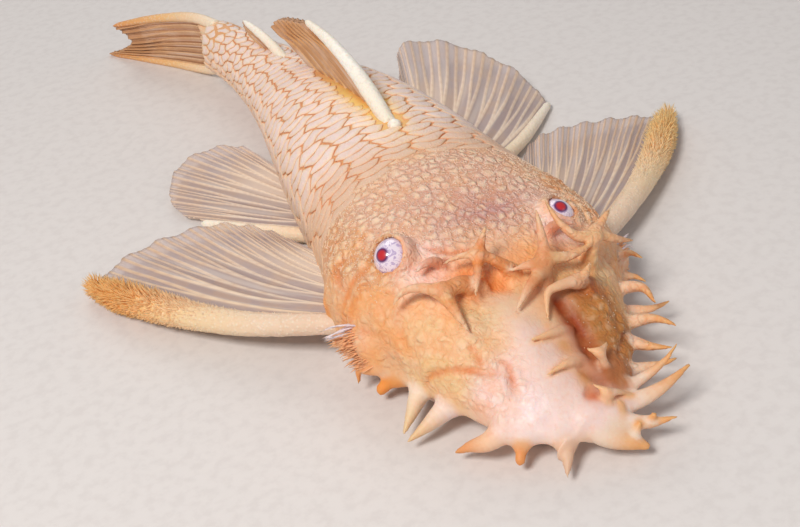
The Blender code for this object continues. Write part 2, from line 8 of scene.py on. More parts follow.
import bmesh
import bpy
import numpy as np
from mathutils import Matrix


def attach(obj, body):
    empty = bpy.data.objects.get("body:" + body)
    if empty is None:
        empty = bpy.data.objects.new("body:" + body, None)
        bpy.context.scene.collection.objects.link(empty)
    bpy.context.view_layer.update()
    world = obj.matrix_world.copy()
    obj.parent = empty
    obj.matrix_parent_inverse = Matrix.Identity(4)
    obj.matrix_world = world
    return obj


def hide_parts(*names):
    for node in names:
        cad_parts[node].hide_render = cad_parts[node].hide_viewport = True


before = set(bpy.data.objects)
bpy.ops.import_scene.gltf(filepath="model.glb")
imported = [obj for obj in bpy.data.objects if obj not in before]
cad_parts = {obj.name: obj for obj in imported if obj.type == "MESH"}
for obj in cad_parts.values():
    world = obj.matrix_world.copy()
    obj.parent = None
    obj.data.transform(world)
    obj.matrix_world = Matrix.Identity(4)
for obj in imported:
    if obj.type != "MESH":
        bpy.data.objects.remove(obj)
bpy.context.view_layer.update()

import openvdb
from mathutils import Matrix, Vector

MM = 0.001

# Station and size pairs that shape the body, as the solids have them.
TRUNK_WIDTH = ((24, 16.1), (29, 16.8), (32, 15.8), (36, 14.3), (46, 12.7), (56, 11.4), (66, 9.6), (76, 7.3),
               (86, 5.2), (94, 4.0), (101, 3.5))
LEFT_WIDTH = ((1.0, 0.0), (1.3, 2.0), (2.2, 3.6), (4, 5.3), (8, 7.8), (12, 10.0), (17, 12.6), (20, 14.0),
              *TRUNK_WIDTH)
RIGHT_WIDTH = ((1.0, 0.0), (1.3, 2.9), (2.2, 5.2), (4, 7.4), (8, 9.5), (12, 11.2), (17, 13.2), (20, 14.4),
               *TRUNK_WIDTH)
BACK_HEIGHT = ((1.0, 3.6), (1.8, 4.9), (4, 6.4), (8, 8.6), (12, 10.4), (20, 13.3), (27, 15.2), (36, 16.6),
               (46, 16.9), (56, 16.2), (68, 14.6), (79, 12.4), (90, 11.2), (101, 10.9))
BELLY_HEIGHT = ((1.0, 3.0), (1.8, 2.4), (4, 2.0), (21, 2.0), (26, 0.8), (30, -0.3), (53, -0.3), (64, 0.8),
                (76, 1.6), (88, 2.0), (101, 2.3))
WIDEST_SHARE = ((1, 0.5), (4, 0.32), (12, 0.25), (30, 0.27), (50, 0.42), (80, 0.5), (101, 0.5))
BACK_FULLNESS = ((1, 2.1), (12, 2.5), (20, 2.7), (32, 2.6), (46, 2.2), (101, 2.0))
BELLY_FULLNESS = ((1, 2.2), (8, 4.2), (45, 4.2), (70, 2.8), (101, 2.1))
HEADING = ((0, 0.0), (46, -1.5), (60, 0.0), (75, 4.0), (90, 8.5), (101, 14.0), (112, 30.0), (128, 38.0))
MIDLINE_END = 130.0
ORIGIN_STATION = 43.0
NOSE = 1.02
TAIL_ROOT = 101.0
HEAD_TILT = 4.7
TILT_FADE = (30, 60)
TILT_SPAN = 18.0
TILT_FLOOR = 8.0

# The skin is meshed from a field of voxels, stretched along the trunk, where plates cover it.
VOXEL = 0.257
TRUNK_STRETCH = 2.5
HEAD_VOXELS = (-4.4, 37.0)
SIDE_VOXELS = (-19.5, 19.6)
HEIGHT_VOXELS = (-0.5, 18.9)
HEAD_COAT = 0.08
TRUNK_COAT = 0.28
# Steps along a limb's path, and a distance past every place on the fish.
PATH_STEPS = 14
FAR = 99.0

# Sides are 1 on the fish's left and -1 on its right.
EYE_RADIUS = 2.12
EYE_PLACES = {1: (24.3, 9.0, 12.25), -1: (24.6, -9.75, 13.0)}
EYE_OPENINGS = {1: (-0.25, 0.37, 0.80), -1: (-0.20, -0.72, 0.66)}
LID_ANGLES = {1: 50.0, -1: 68.0}
LID_HALF = 0.26
CORNEA_RISE = 0.16
PUPIL_ANGLE = 18.0

LIT_PLACE = Vector((0, -0.01, 0.008))
CAMERA_TARGET = (-7.1, -11.7, 8.0)
CAMERA_AZIMUTH = -21.2
CAMERA_ELEVATION = 34.8
CAMERA_ROLL = -8.6
CAMERA_DISTANCE = 146.1
CAMERA_LENS = 60.0

rng = np.random.default_rng(11)


def hermite(t, width, start, end, leave, arrive):
    """A cubic from start to end over a width, with its slopes at both ends."""
    begin = (1 + 2 * t) * (1 - t) ** 2 * start + t * (1 - t) ** 2 * width * leave
    return begin + t * t * (3 - 2 * t) * end + t * t * (t - 1) * width * arrive


def stretch(x, at):
    """Which stretch between the knots x each place lies in, its width and the share passed."""
    i = np.clip(np.searchsorted(x, at, side="right") - 1, 0, len(x) - 2)
    width = x[i + 1] - x[i]
    return i, width, (at - x[i]) / width


def flow(pairs, at):
    """Read a smooth curve without overshoot through (station, value) pairs."""
    x, y = np.array(pairs, float).T
    width = np.diff(x)
    rise = np.diff(y) / width
    slope = np.zeros(len(x))
    slope[0], slope[-1] = rise[0], rise[-1]
    for i in range(1, len(x) - 1):
        if rise[i - 1] * rise[i] > 0:
            before = 2 * width[i] + width[i - 1]
            after = width[i] + 2 * width[i - 1]
            slope[i] = (before + after) / (before / rise[i - 1] + after / rise[i])
    i, width, t = stretch(x, np.clip(np.asarray(at, float), x[0], x[-1]))
    return hermite(t, width, y[i], y[i + 1], slope[i], slope[i + 1])


def trace_midline():
    """Walk the midline once: stations, x and y, with the belly's rest point at the origin."""
    stations = np.linspace(0.0, MIDLINE_END, 521)
    heading = np.radians(flow(HEADING, stations))
    step_x, step_y = -np.sin(heading), np.cos(heading)
    step = stations[1] - stations[0]
    x = np.concatenate([[0.0], np.cumsum((step_x[1:] + step_x[:-1]) / 2 * step)])
    y = np.concatenate([[0.0], np.cumsum((step_y[1:] + step_y[:-1]) / 2 * step)])
    return stations, x - np.interp(ORIGIN_STATION, stations, x), y - np.interp(ORIGIN_STATION, stations, y)


MIDLINE = trace_midline()


def place(station, offset, height):
    """Turn fish places, single or arrays, into world points in metres."""
    stations, x, y = MIDLINE
    on_line = np.clip(station, 0.0, MIDLINE_END)
    heading = np.radians(flow(HEADING, on_line))
    ahead = np.asarray(station, float) - on_line
    tilt = np.tan(np.radians(HEAD_TILT * np.interp(station, TILT_FADE, (1, 0))))
    raised = np.clip(np.asarray(height, float) / TILT_FLOOR, 0, 1)
    lean = -np.clip(offset, -TILT_SPAN, TILT_SPAN) * tilt * raised
    world = np.stack(np.broadcast_arrays(
        np.interp(on_line, stations, x) + offset * np.cos(heading) - ahead * np.sin(heading),
        np.interp(on_line, stations, y) + offset * np.sin(heading) + ahead * np.cos(heading),
        np.maximum(height + lean, 0.0)), axis=-1)
    return world * MM


def section(station, angle, grow=0.0):
    """Side offset and height of the body's outline; the angle runs from the top to the left."""
    half = flow(TRUNK_WIDTH, station) + grow
    top = flow(BACK_HEIGHT, station) + grow
    low = flow(BELLY_HEIGHT, station) - grow
    middle = low + flow(WIDEST_SHARE, station) * (top - low)
    cosine, sine = np.cos(angle), np.sin(angle)
    fullness = np.where(cosine >= 0, flow(BACK_FULLNESS, station), flow(BELLY_FULLNESS, station))
    reach = np.where(cosine >= 0, top - middle, middle - low)
    offset = half * np.sign(sine) * np.abs(sine) ** (2 / fullness)
    height = middle + reach * np.sign(cosine) * np.abs(cosine) ** (2 / fullness)
    return offset, height


def smooth_path(knots, count):
    """Read count points along a smooth curve through (station, offset, height) knots."""
    knots = np.array(knots, float)
    reach = np.concatenate([[0.0], np.cumsum(np.linalg.norm(np.diff(knots, axis=0), axis=1))])
    slope = np.stack([np.gradient(knots[:, axis], reach) for axis in range(3)], axis=-1)
    i, width, t = stretch(reach, np.linspace(0.0, reach[-1], count))
    return hermite(t[:, None], width[:, None], knots[i], knots[i + 1], slope[i], slope[i + 1])


def spread(values, shares):
    """Read values laid out evenly from 0 to 1 at some shares, or at a number of even shares."""
    if isinstance(shares, int):
        shares = np.linspace(0, 1, shares)
    return np.interp(shares, np.linspace(0, 1, len(values)), values)


def round_turns(sides):
    """The angles of the sides of a ring."""
    return np.linspace(0, 2 * math.pi, sides, endpoint=False)


def unit(vectors):
    """Vectors of length 1."""
    return vectors / (np.linalg.norm(vectors, axis=-1, keepdims=True) + 1e-15)


def across(along):
    """Two directions at right angles to each step of a path, level first."""
    side = unit(np.cross(along, (0, 0, 1)))
    return side, np.cross(side, along)


def soft(value, low, high):
    """A smooth step from 0 at low to 1 at high."""
    t = np.clip((np.asarray(value, float) - low) / (high - low), 0, 1)
    return t * t * (3 - 2 * t)


def bell(*shares):
    """A round hump, 1 in its middle and fading where the shares of its radii reach 1."""
    return np.exp(-1.4 * sum(np.asarray(share, float) ** 2 for share in shares))


def hump(places, middle, reach):
    """A round hump over places, from its middle and its reach along two or three axes."""
    return bell(*((places[:, :len(middle)] - middle) / reach).T)


def cloud(points, cell, seed):
    """Smooth random values from 0 to 1 on places, varying over a cell's length."""
    table = np.random.default_rng(seed).random(8192)
    at = np.asarray(points, float) / cell
    base = np.floor(at).astype(np.int64)
    t = at - base
    t = t * t * (3 - 2 * t)
    total = 0.0
    for corner in np.ndindex(2, 2, 2):
        key = (base + corner) * np.array([73856093, 19349663, 83492791])
        share = np.prod(np.where(corner, t, 1 - t), axis=-1)
        total = total + share * table[np.bitwise_xor.reduce(key, axis=-1) & 8191]
    return total


def linear(red, green, blue):
    """A colour seen on a screen, 0 to 255, as linear light."""
    seen = np.array([red, green, blue]) / 255
    return np.where(seen <= 0.04045, seen / 12.92, ((seen + 0.055) / 1.055) ** 2.4)


def tinted(tone, *coats):
    """Lay screen colours over linear ones, each where its mask is 1."""
    for colour, mask in coats:
        mask = np.clip(mask, 0, 1)[..., None]
        tone = tone * (1 - mask) + linear(*colour) * mask
    return tone


# Finishes


class Wire:
    """A value in a material's nodes; arithmetic on it adds Math nodes."""

    def __init__(self, paint, socket):
        self.paint = paint
        self.socket = socket

    def math(self, operation, first, second):
        return self.paint.node("ShaderNodeMath", {"operation": operation}, {0: first, 1: second})

    def __add__(self, other):
        return self.math("ADD", self, other)

    def __sub__(self, other):
        return self.math("SUBTRACT", self, other)

    def __rsub__(self, other):
        return self.math("SUBTRACT", other, self)

    def __mul__(self, other):
        return self.math("MULTIPLY", self, other)

    __radd__ = __add__

    def step(self, low, high):
        """A smooth step from 0 at low to 1 at high."""
        return self.paint.node("ShaderNodeMapRange", {"interpolation_type": "SMOOTHSTEP"},
                               {"Value": self, "From Min": low, "From Max": high})


class Paint:
    """A material in the making. Constants go straight onto the shader's sockets."""

    def __init__(self, name, constants):
        self.material = bpy.data.materials.new(name)
        self.material.use_nodes = True
        self.tree = self.material.node_tree
        self.shader = self.tree.nodes["Principled BSDF"]
        for socket, value in constants.items():
            self.shader.inputs[socket].default_value = value
        self.place = self.node("ShaderNodeTexCoord", output="Object")

    def node(self, kind, settings=None, inputs=None, output=0):
        made = self.tree.nodes.new(kind)
        for key, value in (settings or {}).items():
            setattr(made, key, value)
        for key, value in (inputs or {}).items():
            if isinstance(value, Wire):
                self.tree.links.new(value.socket, made.inputs[key])
            else:
                made.inputs[key].default_value = value
        return Wire(self, made.outputs[output])

    def mark(self, name, output="Fac"):
        """A value painted on the mesh's points."""
        return self.node("ShaderNodeAttribute", {"attribute_name": name}, output=output)

    def noise(self, size, detail=3.0, output=0, **more):
        """Soft random values with features of a size in millimetres."""
        return self.node("ShaderNodeTexNoise", {}, {"Vector": self.place, "Scale": 1 / (size * MM),
                                                    "Detail": detail, "Roughness": 0.55, **more}, output)

    def swayed(self, size, reach):
        """The place shifted by soft waves of a size, as far as a reach, both in millimetres."""
        waves = self.noise(size, 2.0, "Color", Roughness=0.5)
        return self.node("ShaderNodeVectorMath", {"operation": "MULTIPLY_ADD"},
                         {0: waves, 1: (2 * reach * MM,) * 3, 2: self.place}, "Vector")

    def cells(self, size, feature="F1", vector=None):
        """Distances in a pattern of random cells of a size in millimetres."""
        return self.node("ShaderNodeTexVoronoi", {"feature": feature},
                         {"Vector": vector or self.place, "Scale": 1 / (size * MM)}, "Distance")

    def blend(self, colour, *coats):
        """Lay colours over a colour, each with how much of it shows; three numbers are a screen colour."""
        for over, factor in coats:
            low, high = (part if isinstance(part, Wire) else (*linear(*part), 1.0)
                         for part in (colour, over))
            colour = self.node("ShaderNodeMix", {"data_type": "RGBA"}, {0: factor, 6: low, 7: high}, 2)
        return colour

    def done(self, colour, roughness, relief=None, depth=0.0, **wires):
        """Feed the shader; the relief's depth is in millimetres."""
        wires |= {"Base_Color": colour, "Roughness": roughness}
        if relief:
            wires["Normal"] = self.node("ShaderNodeBump", {}, {"Strength": 1.0, "Distance": depth * MM,
                                                               "Height": relief})
        for name, wire in wires.items():
            self.tree.links.new(wire.socket, self.shader.inputs[name.replace("_", " ")])
        return self.material


def flesh(name, weight, coat, coat_roughness):
    """A soft moist finish: how much light passes through it, then its wet coat."""
    return Paint(name, {"Subsurface Radius": (1.0, 0.42, 0.25), "Subsurface Scale": 0.0012, "IOR": 1.4,
                        "Specular IOR Level": 0.5, "Subsurface Weight": weight, "Coat Weight": coat,
                        "Coat Roughness": coat_roughness})


def skin_finish():
    paint = flesh("moist_skin", 0.24, 0.06, 0.3)
    grain = paint.mark("grain")
    net = paint.mark("net")
    swayed = paint.swayed(1.1, 0.5)
    edge = paint.cells(1.1, "DISTANCE_TO_EDGE", swayed)
    seam = 1.0 - edge.step(0.0, 0.22)
    cobble = edge.step(0.05, 0.45)
    small = 1.0 - paint.cells(0.7, "DISTANCE_TO_EDGE", swayed).step(0.03, 0.3)
    dots = 1.0 - paint.cells(0.42, vector=paint.swayed(0.8, 0.1)).step(0.12, 0.34)
    fine = paint.noise(0.7, 4.0)
    pale = 1.0 - paint.cells(1.1, vector=swayed).step(0.1, 0.5)
    colour = paint.blend(
        paint.mark("tone", "Color"),
        ((250, 222, 190), cobble * grain * 0.24 + pale * (grain * 0.34 + net * 0.2)),
        ((170, 118, 104), seam * grain * 0.32),
        ((226, 126, 54), (seam * 0.16 + small * 0.12) * net),
        ((252, 184, 104), paint.noise(3.0, 4.0).step(0.4, 0.64) * net * 0.2),
        ((255, 238, 214), grain * dots * 0.3),
        ((232, 146, 92), fine.step(0.52, 0.74) * 0.18))
    relief = dots * (grain * 0.4 + net * 0.12) + fine * 0.3 + cobble * grain * 0.32 + pale * net * 0.3
    relief = relief - seam * (grain * 0.25 + net * 0.3) - small * net * 0.25
    return paint.done(colour, 0.42 + fine * 0.22, relief, 0.14)


def plate_finish():
    paint = flesh("bony_plates", 0.12, 0.05, 0.3)
    grains = 1.0 - paint.cells(0.34).step(0.12, 0.5)
    fine = paint.noise(0.8, 4.0)
    colour = paint.blend(paint.mark("tone", "Color"), ((255, 238, 222), grains * 0.26),
                         ((222, 160, 130), fine.step(0.5, 0.75) * 0.22))
    return paint.done(colour, 0.42 + fine * 0.2, grains * 0.7 + fine * 0.4, 0.06)


def grain_finish():
    paint = flesh("grains", 0.1, 0.2, 0.2)
    fine = paint.noise(0.9, 2.0)
    colour = paint.blend(paint.mark("tone", "Color"), ((255, 240, 222), fine.step(0.45, 0.7) * 0.35))
    return paint.done(colour, 0.32 + fine * 0.15)


def bristle_finish(name):
    paint = flesh(name, 0.15, 0.15, 0.2)
    fine = paint.noise(0.6, 2.0)
    colour = paint.blend(paint.mark("tone", "Color"), ((226, 126, 52), fine.step(0.5, 0.75) * 0.3))
    return paint.done(colour, 0.34 + fine * 0.2)


def spine_finish():
    paint = flesh("bony_spine", 0.12, 0.15, 0.2)
    fine = paint.noise(0.5, 4.0)
    furrow = 1.0 - paint.cells(0.45).step(0.1, 0.5)
    colour = paint.blend(paint.mark("tone", "Color"), ((222, 168, 122), fine.step(0.5, 0.75) * 0.25),
                         ((255, 244, 226), furrow * 0.3))
    return paint.done(colour, 0.36 + fine * 0.2, fine * 0.6 + furrow * 0.6, 0.07)


def fin_finish(name, membrane, ray, clear):
    """A thin membrane between raised rays, both as colours; clear is the membrane's opacity."""
    paint = Paint(name, {"Specular IOR Level": 0.5, "Coat Weight": 0.15, "Coat Roughness": 0.25,
                         "Subsurface Radius": (1.0, 0.5, 0.3), "Subsurface Scale": 0.0006})
    ridge, joint, streak, lit_veil = (paint.mark(mark) for mark in ("ray", "joint", "streak", "lit_veil"))
    fine = paint.noise(0.6)
    film = paint.blend(membrane, ((228, 190, 158), paint.noise(3.2).step(0.4, 0.7) * 0.5),
                       # The lit veil near the body: partly the thicker pale membrane there, partly painted
                       # light where the fin catches the light; it is laid cream over the film and made more
                       # opaque.
                       ((248, 236, 226), streak.step(0.45, 0.85) * 0.45), ((246, 222, 198), lit_veil * 0.7))
    bone = paint.blend(ray, (paint.mark("tone", "Color"), 0.65), ((190, 128, 84), joint * 0.3))
    colour = paint.blend(film, (bone, ridge.step(0.0, 1.0) * 0.66))
    opacity = clear + streak * 0.14 + ridge.step(0.05, 0.8) * (0.82 - clear)
    opacity = opacity + (1.0 - opacity) * lit_veil * 0.6
    return paint.done(colour, 0.34 + fine * 0.25, fine * 0.5 + joint * 0.3, 0.04, Alpha=opacity)


def eye_finish():
    paint = Paint("wet_eye", {"Coat Weight": 1.0, "Coat Roughness": 0.03, "Coat IOR": 1.5,
                              "Specular IOR Level": 0.5})
    polar = paint.mark("polar")
    swirl = paint.noise(1.0, 2.0, Roughness=0.5, Distortion=3.0)
    iris = paint.blend((240, 226, 238), ((150, 116, 184), swirl.step(0.5, 0.64) * 0.6),
                       ((186, 182, 226), polar.step(48.0, 66.0) * 0.5),
                       ((118, 62, 138), (1.0 - polar.step(PUPIL_ANGLE, PUPIL_ANGLE + 6.0)) * 0.85))
    pupil = paint.blend((196, 26, 34), ((70, 20, 84), polar.step(PUPIL_ANGLE * 0.5, PUPIL_ANGLE)))
    colour = paint.blend(pupil, (iris, polar.step(PUPIL_ANGLE - 1.5, PUPIL_ANGLE + 1.5)),
                         ((206, 150, 150), polar.step(74.0, 92.0)))
    return paint.done(colour, 0.3 + swirl * 0.1)


def floor_finish():
    paint = Paint("pale_floor", {"Specular IOR Level": 0.3})
    fine = paint.noise(1.4)
    colour = paint.blend((226, 220, 216), ((214, 207, 203), fine.step(0.4, 0.7) * 0.5))
    return paint.done(colour, 0.7 + fine * 0.1)


# Meshes


def make_piece(name, points, faces, finish, nodes=(), tone=None, marks=None, unwrap=None):
    """A smooth piece that rides on the body, from world points and groups of faces with equal sides."""
    corners = np.concatenate([np.ravel(group) for group in faces]).astype(np.int32)
    sizes = np.concatenate([np.full(len(group), len(group[0]), np.int32) for group in faces])
    mesh = bpy.data.meshes.new(name)
    mesh.vertices.add(len(points))
    mesh.vertices.foreach_set("co", np.asarray(points, np.float32).ravel())
    mesh.loops.add(len(corners))
    mesh.loops.foreach_set("vertex_index", corners)
    mesh.polygons.add(len(sizes))
    mesh.polygons.foreach_set("loop_start", np.cumsum(sizes, dtype=np.int32) - sizes)
    mesh.update(calc_edges=True)
    mesh.shade_smooth()
    if tone is not None:
        rgba = np.insert(np.asarray(tone, np.float32), 3, 1, axis=1)
        mesh.attributes.new("tone", "FLOAT_COLOR", "POINT").data.foreach_set("color", rgba.ravel())
    for key, values in (marks or {}).items():
        layer = mesh.attributes.new(key, "FLOAT", "POINT")
        layer.data.foreach_set("value", np.asarray(values, np.float32).ravel())
    if unwrap is not None:
        layer = mesh.uv_layers.new(name="OFBake")
        layer.data.foreach_set("uv", np.asarray(unwrap, np.float32)[corners].ravel())
    loose = bmesh.new()
    loose.from_mesh(mesh)
    bmesh.ops.recalc_face_normals(loose, faces=loose.faces)
    loose.to_mesh(mesh)
    loose.free()
    mesh.materials.append(finish)
    piece = bpy.data.objects.new(name, mesh)
    bpy.context.scene.collection.objects.link(piece)
    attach(piece, "root")
    if nodes:
        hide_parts(*nodes)
    return piece


UNWRAP_MIDDLE = 18.0
UNWRAP_LENGTH = 140
UNWRAP_HEIGHT = 0.005


def unwrap_places(points):
    """Where world points lie on an unwrap of the body: along it and round it."""
    along = 0.5 + (points[:, 1] / MM - UNWRAP_MIDDLE) / UNWRAP_LENGTH
    centre = np.interp(points[:, 1], MIDLINE[2] * MM, MIDLINE[1] * MM)
    turn = np.arctan2(points[:, 0] - centre, points[:, 2] - UNWRAP_HEIGHT)
    return np.stack([along, 0.5 + turn / (2.05 * math.pi)], axis=-1)


def grid_faces(rows, columns, closed=False):
    """Four-sided faces of a grid of points, joined round across its columns if closed."""
    last = columns if closed else columns - 1
    row, column = np.meshgrid(np.arange(rows - 1), np.arange(last), indexing="ij")
    beside = (column + 1) % columns
    return np.stack([row * columns + column, row * columns + beside,
                     (row + 1) * columns + beside, (row + 1) * columns + column], axis=-1).reshape(-1, 4)


def fan_cap(ring, centre):
    """Three-sided faces from a ring of points to a centre point."""
    ring = np.asarray(ring)
    return np.stack([ring, np.roll(ring, -1), np.full(len(ring), centre)], axis=-1)


# Skin


def melted(first, second, reach):
    """Join two fields with a fillet of a reach."""
    near = np.maximum(reach - np.abs(first - second), 0) / reach
    return np.minimum(first, second) - near * near * reach / 4


def voxel_axes():
    """Stations, offsets and heights of the field's samples."""
    fine = np.arange(*HEAD_VOXELS, VOXEL)
    coarse = np.arange(fine[-1] + VOXEL * TRUNK_STRETCH, TAIL_ROOT + 6.5, VOXEL * TRUNK_STRETCH)
    return np.concatenate([fine, coarse]), np.arange(*SIDE_VOXELS, VOXEL), np.arange(*HEIGHT_VOXELS, VOXEL)


def body_field(axes):
    """Distance to the bare body's outline at every sample."""
    stations, offsets, heights = axes
    at = np.clip(stations, NOSE, TAIL_ROOT)
    left, right, top, low, share, back, belly = (
        flow(pairs, at)[:, None, None]
        for pairs in (LEFT_WIDTH, RIGHT_WIDTH, BACK_HEIGHT, BELLY_HEIGHT, WIDEST_SHARE, BACK_FULLNESS,
                      BELLY_FULLNESS))
    half = np.where(offsets[None, :, None] > 0, left, right)
    middle = low + share * (top - low)
    x = np.abs(offsets)[None, :, None]
    z = heights[None, None, :]
    above = z >= middle
    fullness = np.where(above, back, belly)
    reach = np.where(above, top - middle, middle - low)
    grown = ((x / half) ** fullness + (np.abs(z - middle) / reach) ** fullness) ** (1 / fullness)
    field = (grown - 1) * np.minimum(half, (top - low) / 2)
    slopes = np.gradient(field, *axes)
    field /= np.maximum(np.sqrt(sum(slope * slope for slope in slopes)), 0.4)
    ahead = np.maximum(NOSE - stations, 0)[:, None, None]
    field = np.where(ahead > 0, np.hypot(np.maximum(field, 0), ahead), field)
    return np.maximum(field, (stations - TAIL_ROOT + 0.2)[:, None, None])


def window_round(axes, places, reach):
    """The slices of the field within a reach of some places, with their samples."""
    low, high = np.min(places, axis=0) - reach, np.max(places, axis=0) + reach
    window = tuple(slice(*np.searchsorted(axis, (a, b))) for axis, a, b in zip(axes, low, high))
    samples = np.meshgrid(*(axis[part] for axis, part in zip(axes, window)), indexing="ij")
    return window, samples


def add_limb(field, axes, path, radii, melt):
    """Melt a tapered limb into the field along a path of fish places, its radii spread along it."""
    radius = spread(radii, len(path))
    window, samples = window_round(axes, path, radius.max() + melt + 2 * VOXEL)
    nearest = np.full(samples[0].shape, FAR)
    for start, end, first, last in zip(path, path[1:], radius, radius[1:]):
        run = end - start
        away = [sample - origin for sample, origin in zip(samples, start)]
        t = np.clip(sum(a * r for a, r in zip(away, run)) / run.dot(run), 0, 1)
        gap = np.sqrt(sum((a - t * r) ** 2 for a, r in zip(away, run))) - (first + t * (last - first))
        nearest = np.minimum(nearest, gap)
    field[window] = melted(field[window], nearest, melt)


def mirrored(points, side):
    """Flip a list of fish places to the given side."""
    return [(station, offset * side, height) for station, offset, height in points]


# Fleshy feelers along the snout's rim, right then left: radius at the root and the tip, then the places.
RIM_FEELERS = (
    (0.95, 0.14, ((20.2, -13.4, 3.9), (21.4, -15.4, 3.4), (22.5, -16.3, 2.8), (22.3, -16.6, 1.6))),
    (1.25, 0.55, ((18.2, -11.6, 3.8), (19.0, -12.9, 3.0), (19.7, -14.2, 2.2), (19.9, -15.1, 1.7))),
    (1.2, 0.14, ((16.8, -10.8, 3.8), (15.8, -12.5, 3.0), (14.4, -14.1, 2.3), (12.8, -16.0, 1.5))),
    (1.3, 0.14, ((12.2, -9.1, 4.0), (12.2, -11.5, 2.9), (11.8, -13.8, 2.2), (11.6, -16.1, 1.5))),
    (1.1, 0.14, ((5.6, -8.4, 3.7), (6.0, -10.2, 2.7), (7.0, -11.5, 2.1), (7.8, -12.9, 1.4))),
    (1.0, 0.5, ((4.8, -6.9, 3.4), (4.0, -7.5, 2.4), (3.2, -8.2, 1.7))),
    (1.2, 0.14, ((4.2, -3.3, 3.9), (2.7, -3.7, 2.9), (1.0, -4.3, 2.1), (-0.8, -5.4, 1.4))),
    (1.5, 0.14, ((2.3, -0.9, 4.0), (0.9, -0.2, 3.0), (-0.4, 1.0, 2.4), (-1.7, 2.8, 1.9))),
    (1.3, 0.14, ((2.6, 0.4, 4.2), (0.9, 1.2, 3.3), (-0.4, 2.0, 2.5), (-1.7, 2.8, 1.9))),
    (1.0, 0.14, ((1.6, 1.1, 4.0), (0.5, 2.6, 3.5), (-0.6, 4.5, 3.4), (-1.6, 6.4, 3.9))),
    (1.05, 0.14, ((2.6, 1.8, 4.1), (2.4, 3.9, 3.9), (2.1, 5.8, 4.3), (1.9, 7.8, 5.1), (2.2, 10.8, 6.3))),
    (0.72, 0.14, ((4.4, 2.9, 4.7), (3.8, 4.9, 4.9), (3.6, 6.6, 5.5), (2.9, 7.8, 7.0), (2.7, 9.6, 9.0))),
    (0.8, 0.14, ((6.8, 4.4, 4.4), (6.4, 6.6, 4.2), (5.9, 8.4, 4.2), (5.3, 10.0, 4.4), (5.0, 11.4, 4.8))),
    (0.95, 0.14, ((10.0, 6.5, 5.2), (9.2, 8.4, 5.2), (7.7, 9.6, 5.2), (6.8, 10.5, 5.3), (6.1, 11.3, 5.4))),
    (0.9, 0.14, ((12.0, 8.0, 5.6), (11.4, 10.2, 5.8), (9.8, 11.6, 6.8), (6.8, 12.5, 7.6))),
    (0.85, 0.14, ((15.0, 9.8, 4.4), (15.0, 12.3, 3.9), (14.2, 14.1, 3.9), (14.0, 16.6, 4.1))),
    (0.9, 0.14, ((16.8, 10.3, 5.8), (16.4, 12.0, 6.4), (14.2, 13.1, 7.7), (10.6, 12.5, 8.1))),
    (0.75, 0.14, ((20.0, 12.3, 5.0), (19.8, 14.0, 4.9), (19.2, 15.3, 5.0), (17.6, 16.1, 4.8))),
    (0.7, 0.14, ((21.6, 13.4, 6.3), (21.0, 14.6, 6.8), (20.2, 15.5, 7.9), (18.2, 15.9, 8.3))),
    (0.5, 0.14, ((-0.9, 1.9, 2.5), (-0.8, 2.5, 3.4), (-0.7, 2.9, 4.2))),
    (0.42, 0.3, ((-0.4, 4.2, 3.5), (-0.8, 4.4, 4.5))),
)
# How many of them stand on the right.
RIGHT_RIM = 7
# Root and tip colours of the feelers on the right side of the rim.
RIM_TONES = (((244, 186, 134), (236, 156, 92)), ((240, 168, 98), (234, 148, 70)),
             ((244, 226, 210), (230, 196, 152)), ((248, 230, 226), (230, 190, 144)),
             ((246, 206, 172), (228, 154, 96)), ((240, 194, 152), (228, 152, 90)),
             ((240, 198, 168), (222, 182, 152)))

